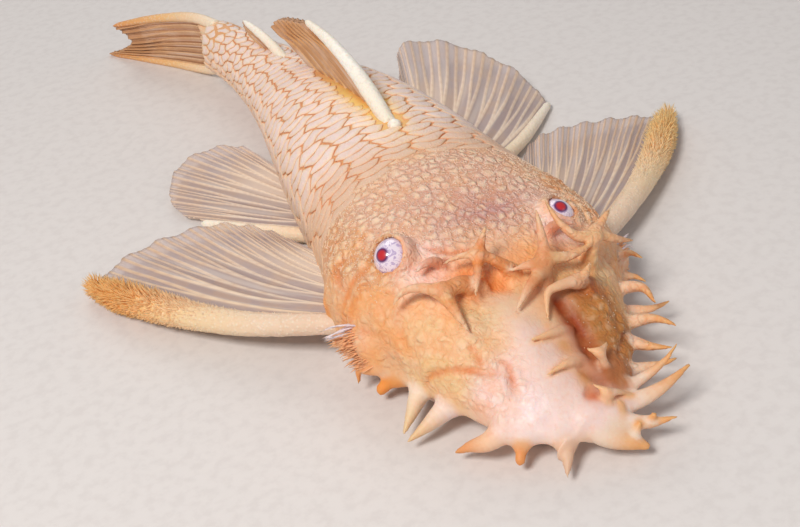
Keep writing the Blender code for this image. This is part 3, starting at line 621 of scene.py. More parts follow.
# Branched feelers on top of the snout: stem radius, then each branch's places from root to tip.
BRANCHED_FEELERS = (
    (0.9, (((17.6, 0.1, 12.1), (17.6, -1.3, 13.7), (18.4, -3.2, 14.9), (18.8, -4.9, 15.0),
            (19.4, -6.8, 14.2)),
           ((18.4, -3.2, 14.9), (18.8, -2.4, 16.2), (19.2, -1.6, 17.5)),
           ((18.4, -3.2, 14.9), (16.6, -4.3, 13.7), (15.0, -5.5, 12.5)))),
    (1.2, (((17.2, -4.1, 11.7), (17.0, -6.0, 13.0), (16.6, -8.3, 13.2), (17.8, -10.2, 13.5),
            (18.6, -11.6, 13.0), (18.6, -12.9, 11.8)),
           ((16.6, -8.3, 13.2), (14.4, -8.1, 12.0), (12.6, -7.7, 10.5)))),
    (1.05, (((15.2, 2.4, 11.1), (15.6, 2.6, 12.9), (16.4, 3.2, 14.4), (17.6, 3.6, 16.3),
             (19.0, 4.0, 18.0)),
            ((15.8, 2.8, 13.4), (15.8, 1.1, 13.7), (16.6, -0.5, 13.1)),
            ((15.4, 2.3, 12.8), (13.6, -0.5, 12.4), (12.2, -2.7, 11.3)),
            ((16.0, 2.9, 13.9), (15.4, 5.0, 13.6), (15.6, 7.4, 13.8), (16.2, 9.2, 13.9)))),
    (1.0, (((16.6, 8.4, 10.9), (16.4, 8.7, 12.9), (17.4, 9.8, 14.0), (18.2, 11.4, 14.8),
            (19.4, 13.0, 15.4)),
           ((17.4, 9.8, 14.0), (17.0, 11.8, 12.8), (17.8, 14.6, 11.2)),
           ((16.8, 9.4, 14.0), (17.0, 7.4, 14.5), (18.4, 6.2, 15.9), (20.8, 5.9, 17.6)))),
    (0.95, (((14.2, 6.9, 10.2), (13.2, 4.9, 11.9), (13.0, 2.8, 12.2), (12.8, 1.4, 12.1),
             (11.8, 0.6, 11.2), (10.4, -0.1, 10.3)),
            ((13.2, 4.9, 11.9), (13.2, 5.9, 12.5), (13.8, 7.0, 13.2)))),
    (0.7, (((10.0, 1.7, 9.0), (9.2, -0.6, 9.9), (8.8, -3.3, 10.2)),)),
    (0.7, (((6.8, 1.2, 7.5), (6.0, -1.0, 8.4), (5.6, -3.2, 8.3)),)),
    (0.65, (((5.0, 3.0, 6.4), (5.3, 2.8, 7.9), (5.6, 2.6, 8.7), (6.1, 2.0, 8.9), (6.8, 1.5, 8.9)),
            ((5.6, 2.6, 8.7), (6.0, 3.4, 8.8), (6.6, 4.2, 8.9)))),
    (0.7, (((2.2, 0.8, 3.4), (2.4, 1.1, 5.1), (2.5, 1.3, 6.3), (3.0, 0.8, 6.9), (3.8, 0.4, 6.8)),
           ((2.5, 1.3, 6.3), (2.4, 2.5, 6.0), (2.5, 3.9, 5.0)))),
    (0.5, (((0.9, 1.6, 3.0), (1.0, 1.9, 4.2), (1.7, 2.4, 5.0)),)),
)


def rim_feelers():
    """Paths and radii of the fleshy feelers along the rim of the snout."""
    return [(smooth_path(knots, PATH_STEPS),
             (radius * 1.1, radius * 0.9, max(radius * 0.7, tip), max(radius * 0.42, tip), tip))
            for radius, tip, knots in RIM_FEELERS]


def branched_feelers():
    """Paths and radii of the branched feelers on top of the snout, in the Y of a grown male."""
    limbs = []
    for radius, branches in BRANCHED_FEELERS:
        for index, knots in enumerate(branches):
            size = radius if index == 0 else radius * 0.8
            taper = (size, size * 0.74, size * 0.56, size * 0.36, 0.13)
            limbs.append((smooth_path(knots, PATH_STEPS), taper))
    return limbs


# Folds of the face: how wide and deep each is, then the places that it runs through.
FOLDS = (
    (0.32, 0.5, ((14.5, -12.3, 3.8), (13.9, -12.1, 5.7), (13.2, -11.7, 6.4), (11.8, -10.5, 7.4),
                 (10.9, -9.6, 7.6), (10.0, -8.7, 7.8), (9.0, -7.7, 7.8), (8.6, -6.6, 8.0),
                 (8.1, -5.9, 7.9))),
    (0.32, 0.45, ((9.8, -6.3, 8.7), (8.1, -5.9, 7.9), (7.3, -6.2, 7.3), (6.3, -6.3, 6.8))),
    (0.3, 0.3, ((12.2, -8.2, 9.6), (10.3, -8.0, 8.5), (9.4, -8.2, 7.8))),
    (0.4, 0.6, ((18.7, -9.9, 11.6), (19.1, -10.8, 11.4), (19.0, -11.8, 10.8), (18.6, -12.6, 10.0),
                (17.0, -12.9, 8.1), (16.0, -12.9, 7.0), (15.4, -12.7, 6.6))),
    (0.45, 0.6, ((29.5, -15.0, 10.8), (27.2, -15.4, 10.3), (24.5, -15.6, 9.7), (23.6, -16.2, 8.5))),
    (0.42, 0.45, ((28.2, -13.2, 12.5), (28.5, -14.3, 11.7), (28.0, -14.9, 10.9), (26.8, -15.0, 10.5))),
    (0.35, 0.35, ((23.7, -6.9, 14.0), (22.3, -5.3, 13.7), (21.5, -3.6, 13.6), (21.0, -1.4, 13.7))),
    (0.6, 0.6, ((18.6, -5.0, 12.4), (18.2, -4.3, 12.5), (17.2, -3.3, 12.0), (16.6, -2.0, 11.7),
                (16.4, -0.6, 11.6))),
    (0.8, 1.0, ((13.8, 2.6, 11.0), (10.5, 2.9, 9.1), (8.3, 2.7, 8.1), (6.3, 1.9, 7.5))),
    (0.4, 0.5, ((6.6, 0.3, 7.7), (4.9, 1.1, 6.8), (3.7, 2.4, 5.8))),
    (0.9, 0.5, ((3.9, -0.5, 6.2), (3.4, 0.1, 5.8), (3.0, 0.4, 5.2), (2.6, 0.6, 4.4))),
    (0.35, 0.5, ((12.4, 9.4, 5.6), (10.6, 8.4, 6.4), (8.8, 7.2, 6.6), (7.2, 5.8, 6.8), (5.8, 4.6, 6.6))),
    (0.35, 0.45, ((18.8, 10.2, 10.8), (18.4, 11.8, 9.4), (16.8, 12.1, 7.6), (15.4, 11.8, 6.4))),
    (0.35, 0.5, ((29.5, 15.0, 10.6), (27.2, 15.4, 10.0), (24.5, 15.6, 9.4), (23.6, 16.0, 8.2))),
    (0.35, 0.35, ((23.7, 6.9, 13.8), (22.3, 5.3, 13.6), (21.5, 3.6, 13.6), (21.0, 1.6, 13.7))),
    (0.3, 0.4, ((22.6, -15.9, 7.9), (21.2, -15.2, 7.6), (19.8, -14.4, 7.6), (18.4, -13.8, 7.6))),
    (0.3, 0.4, ((22.6, 15.8, 7.7), (21.2, 14.8, 7.4), (19.8, 14.0, 7.4), (18.4, 13.2, 7.4))),
)


def beside_path(places, path, margin):
    """Which places lie in the box round a path, grown by a margin."""
    return np.all((places > path.min(axis=0) - margin) & (places < path.max(axis=0) + margin), axis=-1)


def fold_depth(places):
    """How deep and how close the face's folds are at some places."""
    depth, close = np.zeros((2, len(places)))
    for width, deep, knots in FOLDS:
        path = smooth_path(knots, PATH_STEPS)
        inside = beside_path(places, path, 3 * width)
        some = places[inside]
        nearest = np.full(len(some), FAR)
        fade = np.zeros(len(some))
        for index, (start, end) in enumerate(zip(path, path[1:])):
            run = end - start
            t = np.clip((some - start) @ run / run.dot(run), 0, 1)
            gap = np.linalg.norm(some - start - t[:, None] * run, axis=1)
            along = (index + t) / (len(path) - 1)
            fade = np.where(gap < nearest, 1 - (2 * along - 1) ** 4, fade)
            nearest = np.minimum(nearest, gap)
        depth[inside] += deep * np.exp(-(nearest / width) ** 2) * fade
        close[inside] = np.maximum(close[inside], np.exp(-(nearest / (width * 1.3)) ** 2) * fade)
    return depth, close


# Swellings of the face: height, the middle's station and offset, the reach along and across.
SWELLINGS = ((0.6, (14.2, -9.9), (4.0, 3.4)), (0.7, (10.6, 6.4), (4.2, 3.0)),
             (0.6, (8.6, -2.6), (6.5, 2.4)), (0.45, (7.8, -8.6), (2.4, 2.2)),
             (0.3, (4.0, -5.6), (1.8, 2.0)), (0.4, (5.4, 4.0), (2.0, 1.7)),
             (-0.6, (16.6, -1.6), (2.0, 4.5)), (0.25, (32.0, 0.0), (5.0, 6.0)))
# The same on both sides, with the middle's height and the reach up as well.
PAIRED_SWELLINGS = ((-0.5, (20.0, 7.4, 13.0), (1.8, 2.4, 2.4)), (0.35, (22.0, 14.2, 9.5), (3.0, 2.2, 3.0)),
                    (0.3, (20.6, 15.0, 5.5), (2.0, 2.0, 1.8)))


def both_sides(places):
    """Places folded onto the fish's left side."""
    return np.stack([places[:, 0], np.abs(places[:, 1]), places[:, 2]], axis=-1)


def lumps(places):
    """How far the face swells out of the plain outline at some places."""
    folded = both_sides(places)
    station, side, height = folded.T
    top = soft(height, 3.0, 6.0)
    swell = top * sum(high * hump(places, *where) for high, *where in SWELLINGS)
    swell += sum(high * hump(folded, *where) for high, *where in PAIRED_SWELLINGS)
    muzzle = top * (1 - soft(station, 19.0, 21.0)) * soft(side, 3.5, 6.0)
    granules = top * hump(places, (10.4, 7.0), (4.4, 2.6))
    cheek = soft(station, 18, 22) * (1 - soft(station, 31, 35)) * soft(side, 9.5, 12.5) * soft(height, 3, 5)
    for mask, clouds in ((muzzle, ((0.4, 1.3, 31), (0.3, 0.7, 32))),
                         (granules, ((0.5, 1.0, 35), (0.36, 0.65, 36))),
                         (cheek, ((0.4, 1.4, 33), (0.24, 0.8, 34)))):
        swell += mask * sum(high * (cloud(places, cell, seed) - 0.5) for high, cell, seed in clouds)
    for centre in EYE_PLACES.values():
        far = np.linalg.norm(places - centre, axis=-1)
        ripple = bell((far - EYE_RADIUS - 1.5) / 1.6)
        ripple *= soft(side, abs(centre[1]) + 0.8, abs(centre[1]) + 2.0)
        swell += 0.2 * ripple * np.sin(far * 7.0)
    return swell


def eye_axis(side):
    axis = np.array(EYE_OPENINGS[side])
    return axis / np.linalg.norm(axis)


def add_eye_lids(field, axes):
    """Sink a socket for each eye, level the head round it and raise a thin lid about it."""
    for side in (1, -1):
        centre = np.array(EYE_PLACES[side])
        axis = eye_axis(side)
        window, samples = window_round(axes, [centre], 5.5)
        away = [sample - middle for sample, middle in zip(samples, centre)]
        distance = np.sqrt(sum(a * a for a in away)) + 1e-6
        rise = sum(a * part for a, part in zip(away, axis))
        opening = EYE_RADIUS * math.cos(math.radians(LID_ANGLES[side]))
        across = np.sqrt(np.maximum(distance ** 2 - rise ** 2, 0))
        bowl = rise - opening - 0.16 - 0.5 * np.maximum(across - EYE_RADIUS - 0.3, 0) ** 1.5
        part = np.maximum(field[window], bowl)
        lid = np.abs(distance - EYE_RADIUS - LID_HALF) - LID_HALF
        lid = np.maximum(lid, rise - distance * math.cos(math.radians(LID_ANGLES[side] - 7)))
        part = melted(part, lid, 0.6)
        field[window] = np.maximum(part, EYE_RADIUS + 0.02 - distance)


def add_nostrils(field, axes):
    """A pit with a standing flap in front of each eye."""
    for side in (1, -1):
        pit = np.array([20.6, 5.4 * side, 13.2])
        flap = smooth_path([pit + (0.3, 0.5 * side, -0.4), pit + (0.3, 1.6 * side, 0.6),
                            pit + (0.0, 3.0 * side, 0.75), pit + (-0.3, 4.1 * side, 0.25)], 10)
        add_limb(field, axes, flap, (0.55, 0.62, 0.5, 0.3, 0.1), 0.3)
        window, samples = window_round(axes, [pit], 1.6)
        for shift in (-0.55, 0.65):
            gap = np.sqrt(((samples[0] - pit[0] - shift) / 1.25) ** 2 + (samples[1] - pit[1]) ** 2
                          + ((samples[2] - pit[2]) / 1.6) ** 2)
            field[window] = np.maximum(field[window], 0.42 - gap)


def add_mouth(field, axes):
    """The sucker mouth: a broad ring of lip on the floor, the mouth's roof and two barbels."""
    centre = (10.2, 0.0, 0.9)
    window, samples = window_round(axes, [(2.6, -9.0, 0), (17.8, 9.0, 2.4)], 0.8)
    station, offset, height = samples
    radius = np.hypot((station - centre[0]) / 6.4, offset / 7.6)
    ring = np.hypot((radius - 0.76) * 7.0 / 1.7, (height - centre[2]) / 1.0) - 1
    roof = np.maximum((radius - 0.7) * 7.0, np.abs(height - 1.7) - 0.5)
    bumps = 0.07 * np.sin(station * 7.2) * np.sin(offset * 7.2) * soft(radius, 0.3, 0.6)
    field[window] = melted(field[window], np.minimum(ring * 0.95 - bumps, roof), 0.5)
    for side in (1, -1):
        path = smooth_path(mirrored([(13.8, 8.0, 1.4), (15.4, 10.2, 1.15), (17.8, 11.4, 0.8)], side), 10)
        add_limb(field, axes, path, (0.6, 0.4, 0.3, 0.16), 0.5)


def pale_patch(places):
    """The smooth pale skin in front of and beside each eye."""
    return hump(both_sides(places), (22.6, 8.1), (3.2, 2.4))


# Spots of colour on the snout: colour, strength, the middle's station and offset, reach along and across.
# The brown spots on the fish's left (positive offsets) are partly the skin's own brown and partly painted
# shade on the side turned from the light.
BRIDGE_TONES_AND_SHADE = (((234, 204, 190), 1.0, (8.6, -2.8), (6.8, 2.8)),
                ((222, 160, 100), 0.9, (8.4, 0.3), (2.4, 1.4)),
                ((212, 148, 80), 0.9, (5.0, 0.5), (1.8, 1.3)),
                ((198, 128, 74), 1.3, (7.4, 3.2), (3.8, 2.2)),
                ((172, 116, 56), 1.6, (9.8, 6.2), (5.4, 4.0)),
                ((176, 108, 62), 1.6, (5.0, 4.0), (2.4, 2.6)))
# Painted shadow: a dark brown stroke in the hollow along the fold on the left of the snout's bridge.
BRIDGE_HOLLOW_SHADOW = (((150, 46, 2), 1.5, (10.6, 2.4), (4.6, 1.3)),)
# Valleys of the snout: partly the skin's own orange, partly painted shade, dark brown in the valley on the
# left and deep orange in the pit by the front Y feeler and round the roots of the top feelers.
VALLEY_TONES_AND_SHADE = (((150, 60, 8), 1.0, (13.2, 6.4), (1.5, 2.6)),
                ((196, 92, 44), 0.8, (3.1, 0.4), (1.1, 0.9)),
                ((240, 130, 44), 0.85, (17.3, -3.0), (1.3, 3.2)),
                ((244, 168, 96), 0.7, (18.6, 3.0), (2.0, 6.0)),
                ((236, 142, 60), 0.75, (19.2, -4.6), (1.5, 2.3)))
# The gold saddle behind the dorsal spine's root: its middle station and its reach.
GOLD_STATION = 54.0
GOLD_REACH = 11.0


def spots(places, table, up):
    """Coats of colour for a table of spots."""
    return [(colour, np.minimum(strength * hump(places, *where), 1) * up)
            for colour, strength, *where in table]


def skin_tone(places):
    """The skin's own colours; the grains of the head take theirs from it."""
    folded = both_sides(places)
    station, side, height = folded.T
    up = soft(height, 2.0, 5.0)
    head = 1 - soft(station, 33.0, 40.0)
    shield = soft(station, 20.5, 24.0) * head * soft(height, 9.0, 12.0)
    snout = up * (1 - soft(station, 15.0, 19.5))
    vein = soft(cloud(places * (1.5, 0.35, 0.35), 1.0, 41), 0.56, 0.72) * soft(side, 9.5, 12.0)
    vein = vein * soft(height, 4.0, 6.0) * soft(station, 22.0, 24.0) * (1 - soft(station, 31.0, 34.0))
    tone = tinted(
        linear(244, 196, 160),
        ((238, 202, 174), shield),
        ((236, 198, 178), 0.7 * shield * (1 - soft(side, 6.0, 11.0))),
        ((206, 158, 154), 0.8 * shield * hump(places, (25.8, 1.6), (3.8, 7.0))),
        ((190, 142, 150), 0.5 * shield * hump(places, (25.4, 1.6), (1.8, 3.8))),
        ((228, 180, 136), 0.85 * head * up * soft(side, 9.5, 13.0) * soft(station, 15.0, 19.0)),
        ((234, 200, 150), snout),
        ((242, 196, 156), 0.6 * snout * soft(cloud(places, 2.2, 7), 0.4, 0.7)),
        ((243, 215, 206), up * (1 - soft(station + 0.1 * side, 8.8, 12.0))),
        # A whiter pink spot on the right front of the snout: its pale pink skin with a painted highlight
        # where the light falls.
        ((250, 232, 234), 0.7 * hump(places, (4.6, -5.4), (3.2, 3.4)) * soft(height, 1.5, 4.0)),
        # Spots of the snout, with painted shade in its hollows and on its left side, turned from the light.
        *spots(places, BRIDGE_TONES_AND_SHADE, up),
        *spots(places, BRIDGE_HOLLOW_SHADOW, up * (0.45 + 0.7 * cloud(places, 1.1, 13))),
        *spots(places, VALLEY_TONES_AND_SHADE, up),
        ((255, 226, 216), 1.7 * pale_patch(places) * up),
        ((240, 128, 44), 0.6 * hump(folded, (17.6, 14.2, 7.4), (0.9, 1.2, 1.6))),
        ((232, 140, 66), 0.6 * vein),
        # Painted shadow: orange-brown under the middle feelers on the right of the snout.
        ((206, 118, 58), 0.8 * hump(places, (16.5, -5.2), (1.3, 1.5)) * up),
        ((240, 190, 164), 0.9 * hump(folded, (22.4, 15.4, 5.8), (1.9, 1.8, 1.8))))
    # Round each eye an orange rim in front; behind it a brown crescent, painted shadow under the brow.
    for centre in EYE_PLACES.values():
        distance = np.linalg.norm(places - centre, axis=-1)
        ring = 1 - soft(distance, EYE_RADIUS + 0.2, EYE_RADIUS + 0.75)
        behind = soft(station - centre[0], -0.4, 1.0)
        tone = tinted(tone, ((232, 140, 74), 0.75 * ring * (1 - behind)),
                      ((186, 128, 84), 0.8 * ring * behind))
    trunk = soft(station, 36.0, 42.0)
    gold = hump(places, (GOLD_STATION, 0.0), (GOLD_REACH, 3.6)) * soft(height, 11.0, 13.0)
    tone = tinted(
        tone,
        ((190, 100, 44), 0.85 * hump(folded, (20.8, 7.2, 13.8), (1.0, 1.8, 1.3))),
        ((234, 168, 116), trunk * soft(height, 1.0, 3.0)),
        ((242, 202, 176), trunk * (1 - soft(height, 3.5, 7.0))),
        ((246, 206, 168), soft(station, 99.6, 100.2)),
        ((250, 204, 116), 1.3 * gold),
        ((226, 134, 58), 0.7 * gold * bell(side / 0.9)),
        ((244, 214, 198), 1 - soft(height, 1.2, 3.4)),
        ((244, 164, 88), 0.45 * head * up * soft(cloud(places, 2.6, 5), 0.52, 0.8) * soft(side, 5.0, 12.0)))
    return tone * (0.95 + 0.1 * cloud(places, 1.3, 9))[:, None]


def colour_feelers(tone, places, limbs, root, tip):
    """Colour the skin on a set of limbs, from the root's colour to the tip's."""
    for path, radii in limbs:
        inside = beside_path(places, path, 1.6)
        gaps = np.linalg.norm(places[inside][:, None, :] - path[None], axis=2)
        along = gaps.argmin(axis=1) / (len(path) - 1)
        on = (1 - soft(gaps.min(axis=1) - spread(radii, along), 0.15, 0.7)) * soft(along, 0.12, 0.4)
        grown = soft(along, 0.1, 0.9)[:, None]
        mixed = linear(*root) * (1 - grown) + linear(*tip) * grown
        tone[inside] = tone[inside] * (1 - on[:, None]) + mixed * on[:, None]


FAN_FOOT = ((46.0, 0.3, 15.1), (51.0, 0.9, 15.0), (57.0, 0.8, 14.4), (64.0, 0.3, 13.2))
CHEEK_PAD = ((24.0, 14.7, 6.6), (22.4, 14.5, 5.7), (20.9, 13.8, 4.6))
TAIL_ROOTS = ((5.3, 2.6), (6.1, 4.6), (7.1, 6.8), (7.9, 8.9))


def skin_limbs(rim, branched):
    """Every limb that is melted into the skin: its path, its radii and the reach of its fillet."""
    limbs = [(*limb, 1.1 if index < RIGHT_RIM + 2 else 0.55) for index, limb in enumerate(rim)]
    limbs += [(*limb, 0.5) for limb in branched]
    for side in (1, -1):
        limbs.append((smooth_path(mirrored(FAN_FOOT, side), PATH_STEPS), (0.5, 1.1, 1.2, 0.9, 0.4), 0.9))
        limbs.append((smooth_path(mirrored(CHEEK_PAD, side), 12), (1.0, 2.05, 1.4), 0.7))
    for low, high in TAIL_ROOTS:
        limbs.append((smooth_path([(97.0, 0.0, low), (101.0, 0.0, low), (105.6, 0.1, high)], 10),
                      (2.9, 2.6, 1.3, 0.3), 0.9))
    return limbs


def make_skin():
    """One skin over the whole body, its feelers, lids, nostrils and mouth."""
    axes = voxel_axes()
    stations = axes[0]
    coat = HEAD_COAT + (TRUNK_COAT - HEAD_COAT) * soft(stations, 34.0, 40.0)
    field = body_field(axes) + coat[:, None, None]
    head = slice(0, np.searchsorted(stations, 40.0))
    shell = np.abs(field[head]) < 1.6
    near = np.stack(np.meshgrid(stations[head], *axes[1:], indexing="ij"), axis=-1)[shell]
    field[head][shell] += fold_depth(near)[0] - lumps(near)
    rim, branched = rim_feelers(), branched_feelers()
    for limb in skin_limbs(rim, branched):
        add_limb(field, axes, *limb)
    add_eye_lids(field, axes)
    add_nostrils(field, axes)
    add_mouth(field, axes)
    field = -melted(-field, (axes[2] - 0.03)[None, None, :], 0.4)
    grid = openvdb.FloatGrid()
    grid.copyFromArray(field.astype(np.float32))
    points, quads = grid.convertToQuads(isovalue=0.0)
    places = np.stack([np.interp(line, np.arange(len(axis)), axis)
                       for line, axis in zip(points.T, axes)], axis=-1)
    station, offset, height = places.T
    close = fold_depth(places)[1] ** 1.6
    # Painted crease shade: the face's folds tinted deep orange, and dark brown at the front of the snout's
    # left side, which is turned from the light.
    tone = tinted(skin_tone(places), ((222, 108, 34), 0.9 * close * soft(-offset, -1.0, 1.0)),
                  ((150, 62, 22), 0.7 * close * soft(offset, 0.0, 1.5) * (1 - soft(station, 15.0, 18.0))))
    for limbs, root, tip in (*(([limb], *tones) for limb, tones in zip(rim, RIM_TONES)),
                             (rim[RIGHT_RIM:], (236, 220, 204), (230, 168, 108)),
                             (branched[:8], (210, 118, 50), (236, 196, 162)),
                             (branched[8:], (228, 186, 154), (236, 184, 138))):
        colour_feelers(tone, places, limbs, root, tip)
    top = soft(height, 8.0, 11.0) * soft(height + 0.7 * np.clip(station - 26.0, 0, 6), 9.5, 12.5)
    shield = soft(station, 20.5, 23.5) * (1 - soft(station, 37.0, 40.0))
    sides = soft(np.abs(offset), 3.0, 6.0) * soft(station, 3.0, 7.0)
    marks = {
        "grain": top * shield * (1 - np.minimum(1.2 * pale_patch(places), 1))
        + 0.22 * hump(places, (10.0, 6.2), (3.6, 2.8)) * soft(height, 4.0, 6.0),
        "net": soft(height, 3.0, 5.0) * (1 - soft(station, 36, 40))
        * (0.25 + 0.75 * np.maximum(sides, soft(station, 14.0, 17.0))),
    }
    nodes = [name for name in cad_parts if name.startswith(("snout", "head", "trunk", "tail", "mouth",
                                                                 "barbel", "bristle"))]
    return make_piece("skin", place(*places.T), [quads], skin_finish(), nodes, tone, marks)


# Plates


ARC_SAMPLES = 90
ARC_END = 126.0


def round_body(station, share, grow):
    """A place on the body by its share of the way from the back's midline to the belly's edge."""
    angle = np.linspace(0, math.radians(ARC_END), ARC_SAMPLES)
    table_at = np.linspace(30, TAIL_ROOT, 60)
    offset, height = section(table_at[:, None], angle[None, :])
    arc = np.cumsum(np.insert(np.hypot(np.diff(offset), np.diff(height)), 0, 0, axis=1), axis=1)
    angles = np.array([np.interp(np.linspace(0, row[-1], 61), row, angle) for row in arc])
    row = np.clip((station - table_at[0]) / (table_at[1] - table_at[0]), 0, len(table_at) - 1.001)
    column = np.clip(np.abs(share) * 60, 0, 59.999)
    i, j = row.astype(int), column.astype(int)
    u, v = row - i, column - j
    turn = (angles[i, j] * (1 - u) * (1 - v) + angles[i + 1, j] * u * (1 - v)
            + angles[i, j + 1] * (1 - u) * v + angles[i + 1, j + 1] * u * v)
    return section(station, np.where(share < 0, -turn, turn), grow)


PLATE_ROWS = 6
PLATE_COLUMNS = 42
PLATE_STATIONS = ((-4, 31.6), (0, 36.4), (6, 44.6), (14, 57.4), (30, 86.2), (42, 109.0))
PLATE_SLANT = ((0, 0.0), (6, 2.0), (12, 5.5), (24, 5.5), (34, 3.0))
PLATE_FRONT = ((0.0, 37.8), (0.3, 35.9), (0.6, 35.4), (1.0, 36.0))
PLATE_PITCH = ((PLATE_STATIONS[-1][1] - PLATE_STATIONS[0][1])
               / (PLATE_STATIONS[-1][0] - PLATE_STATIONS[0][0]))
PLATE_SIDES = 24
PLATE_INSETS = (0.62, 0.34, 0.17, 0.07, 0.0)
PLATE_RISE = (0.0, -0.01, -0.04, -0.08, -0.14, -0.5)
ROW_DEPTH = ((30, 3.4), (60, 2.8), (80, 2.1), (101, 1.4))


def plate_place(column, row):
    """Station and share of the arc at a place in the lattice of plates."""
    share = row / (PLATE_ROWS + 0.1)
    slant = np.abs(share) * flow(PLATE_SLANT, column)
    return flow(PLATE_STATIONS, column) + slant + 0.22 * np.cos(2 * math.pi * row), share


def plate_layout():
    """Staggered plate centres in columns along the body and rows round it, and which carry a plate."""
    column, row = np.meshgrid(np.arange(-3, PLATE_COLUMNS), np.arange(-PLATE_ROWS - 1, PLATE_ROWS + 1),
                              indexing="ij")
    seeds = np.stack([column + 0.5 * (row % 2), row + 0.5], axis=-1).reshape(-1, 2)
    seeds += rng.uniform(-0.22, 0.22, seeds.shape)
    seeds[:, 1] += 0.2 * np.sin(seeds[:, 0] * 2.1)
    middle = np.stack([np.arange(6.5, 20, 0.5), np.zeros(27)], axis=-1)
    seeds = np.concatenate([seeds, middle])
    beside_fin = (seeds[:, 0] > 6) & (seeds[:, 0] < 20) & (np.abs(seeds[:, 1]) < 1)
    seeds[:, 1] += np.where(beside_fin, 0.1 * np.sign(seeds[:, 1]), 0)
    station, share = plate_place(*seeds.T)
    kept = (station > flow(PLATE_FRONT, np.abs(share))) & (station < TAIL_ROOT - 1.0)
    return seeds, np.flatnonzero(kept & (np.abs(seeds[:, 1]) < PLATE_ROWS) & (seeds[:, 1] != 0))


def plate_reach(seeds, index, turns):
    """How far a plate reaches in every direction until it meets its neighbours, with rounded corners."""
    away = np.delete(seeds, index, axis=0) - seeds[index]
    away = away[np.linalg.norm(away, axis=1) < 2.4]
    toward = away @ np.stack([np.cos(turns), np.sin(turns)])
    reach = (away ** 2).sum(axis=1)[:, None] / 2 / np.maximum(toward, 1e-3)
    return (reach ** -26.0).sum(axis=0) ** (-1 / 26) - 0.02


def make_plates():
    """Bony plates over the trunk and tail, each a low dome that fills its place between its neighbours."""
    points, quads, caps, tones = [], [], [], []
    turns = round_turns(PLATE_SIDES)
    ring_count = len(PLATE_INSETS)
    ring_faces = grid_faces(ring_count, PLATE_SIDES, closed=True)
    drop = np.insert(np.repeat(PLATE_RISE[1:], PLATE_SIDES), 0, 0)
    ring = np.insert(np.repeat(np.arange(ring_count) + 1.0, PLATE_SIDES), 0, 0)
    inset = np.array(PLATE_INSETS)[:, None]
    least = 0.12 * (ring_count - np.arange(ring_count))[:, None] / 9
    outer = np.arange(PLATE_SIDES) + 1 + PLATE_SIDES * (ring_count - 1)
    seeds, kept = plate_layout()
    for index in kept:
        reach = plate_reach(seeds, index, turns)
        depth = flow(ROW_DEPTH, plate_place(*seeds[index])[0])
        size = np.hypot(PLATE_PITCH * np.cos(turns), depth * np.sin(turns))
        shrink = inset * np.minimum(1.0, reach.min() * PLATE_PITCH / 0.7)
        rings = np.maximum(reach - shrink / size, reach * least)
        a, b = (np.insert((rings * part).ravel(), 0, 0) for part in (np.cos(turns), np.sin(turns)))
        station, share = plate_place(seeds[index, 0] + a, seeds[index, 1] + b)
        offset, up = round_body(station, np.clip(share, -0.995, 0.995), drop + 0.07 * a)
        start = len(points) * len(drop)
        points.append(np.stack([station, offset, up], axis=-1))
        quads.append(ring_faces + start + 1)
        caps.append(fan_cap(np.arange(PLATE_SIDES) + 1, 0) + start)
        caps.append(np.stack([np.full(PLATE_SIDES - 2, outer[0]), outer[2:], outer[1:-1]], axis=-1) + start)
        gold = bell((station - GOLD_STATION) / GOLD_REACH, share / 0.12)
        line = soft(ring, 2.9, 4.0) * (1 - 0.6 * gold) * (1 - 0.45 * soft(np.abs(share), 0.4, 0.8))
        tone = tinted(linear(246, 220, 212),
                      ((248, 216, 182), 0.85 * soft(ring, 0.8, 2.6)),
                      ((232, 188, 154), 0.85 * (1 - soft(station - 6 * np.abs(share), 36.0, 45.0))),
                      ((246, 194, 142), 0.5 * soft(np.abs(share), 0.45, 0.95)),
                      ((250, 206, 124), 1.2 * gold),
                      ((224, 140, 86), 0.7 * line))
        tones.append(tone * rng.uniform(0.93, 1.03))
    world = place(*np.concatenate(points).T)
    return make_piece("body_plates", world, [np.concatenate(quads), np.concatenate(caps)], plate_finish(),
                      (), np.concatenate(tones), None, unwrap_places(world))


GRAIN_COUNT = 2600
PATCH_REACH = 0.0015


def joined_tufts(rings, tips):
    """Points and faces of many equal tufts: rings of points, closed at the root and pointed at the tip."""
    count, sides = rings[0].shape[:2]
    points = np.concatenate([*rings, tips[:, None]], axis=1)
    last = points.shape[1] - 1
    groups = (grid_faces(len(rings), sides, closed=True), fan_cap(np.arange(last - sides, last), last),
              np.arange(sides)[None, ::-1])
    starts = (np.arange(count) * (last + 1))[:, None, None]
    return points.reshape(-1, 3), [(group[None] + starts).reshape(-1, group.shape[1]) for group in groups]


def tuft_patch(turns, shares):
    """A tuft's patch on the unwrap: rings with a share of its reach, then its tip."""
    angle = np.append(np.tile(turns, len(shares)), 0.0)
    reach = PATCH_REACH * np.append(np.repeat(shares, len(turns)), 0.0)
    return np.stack([np.cos(angle) * reach, np.sin(angle) * reach], axis=-1)


def read(data, key, width=1):
    """What a mesh holds for each of its points, in rows of a width."""
    values = np.empty(len(data) * width, np.float32)
    data.foreach_get(key, values)
    return values.reshape(-1, width)


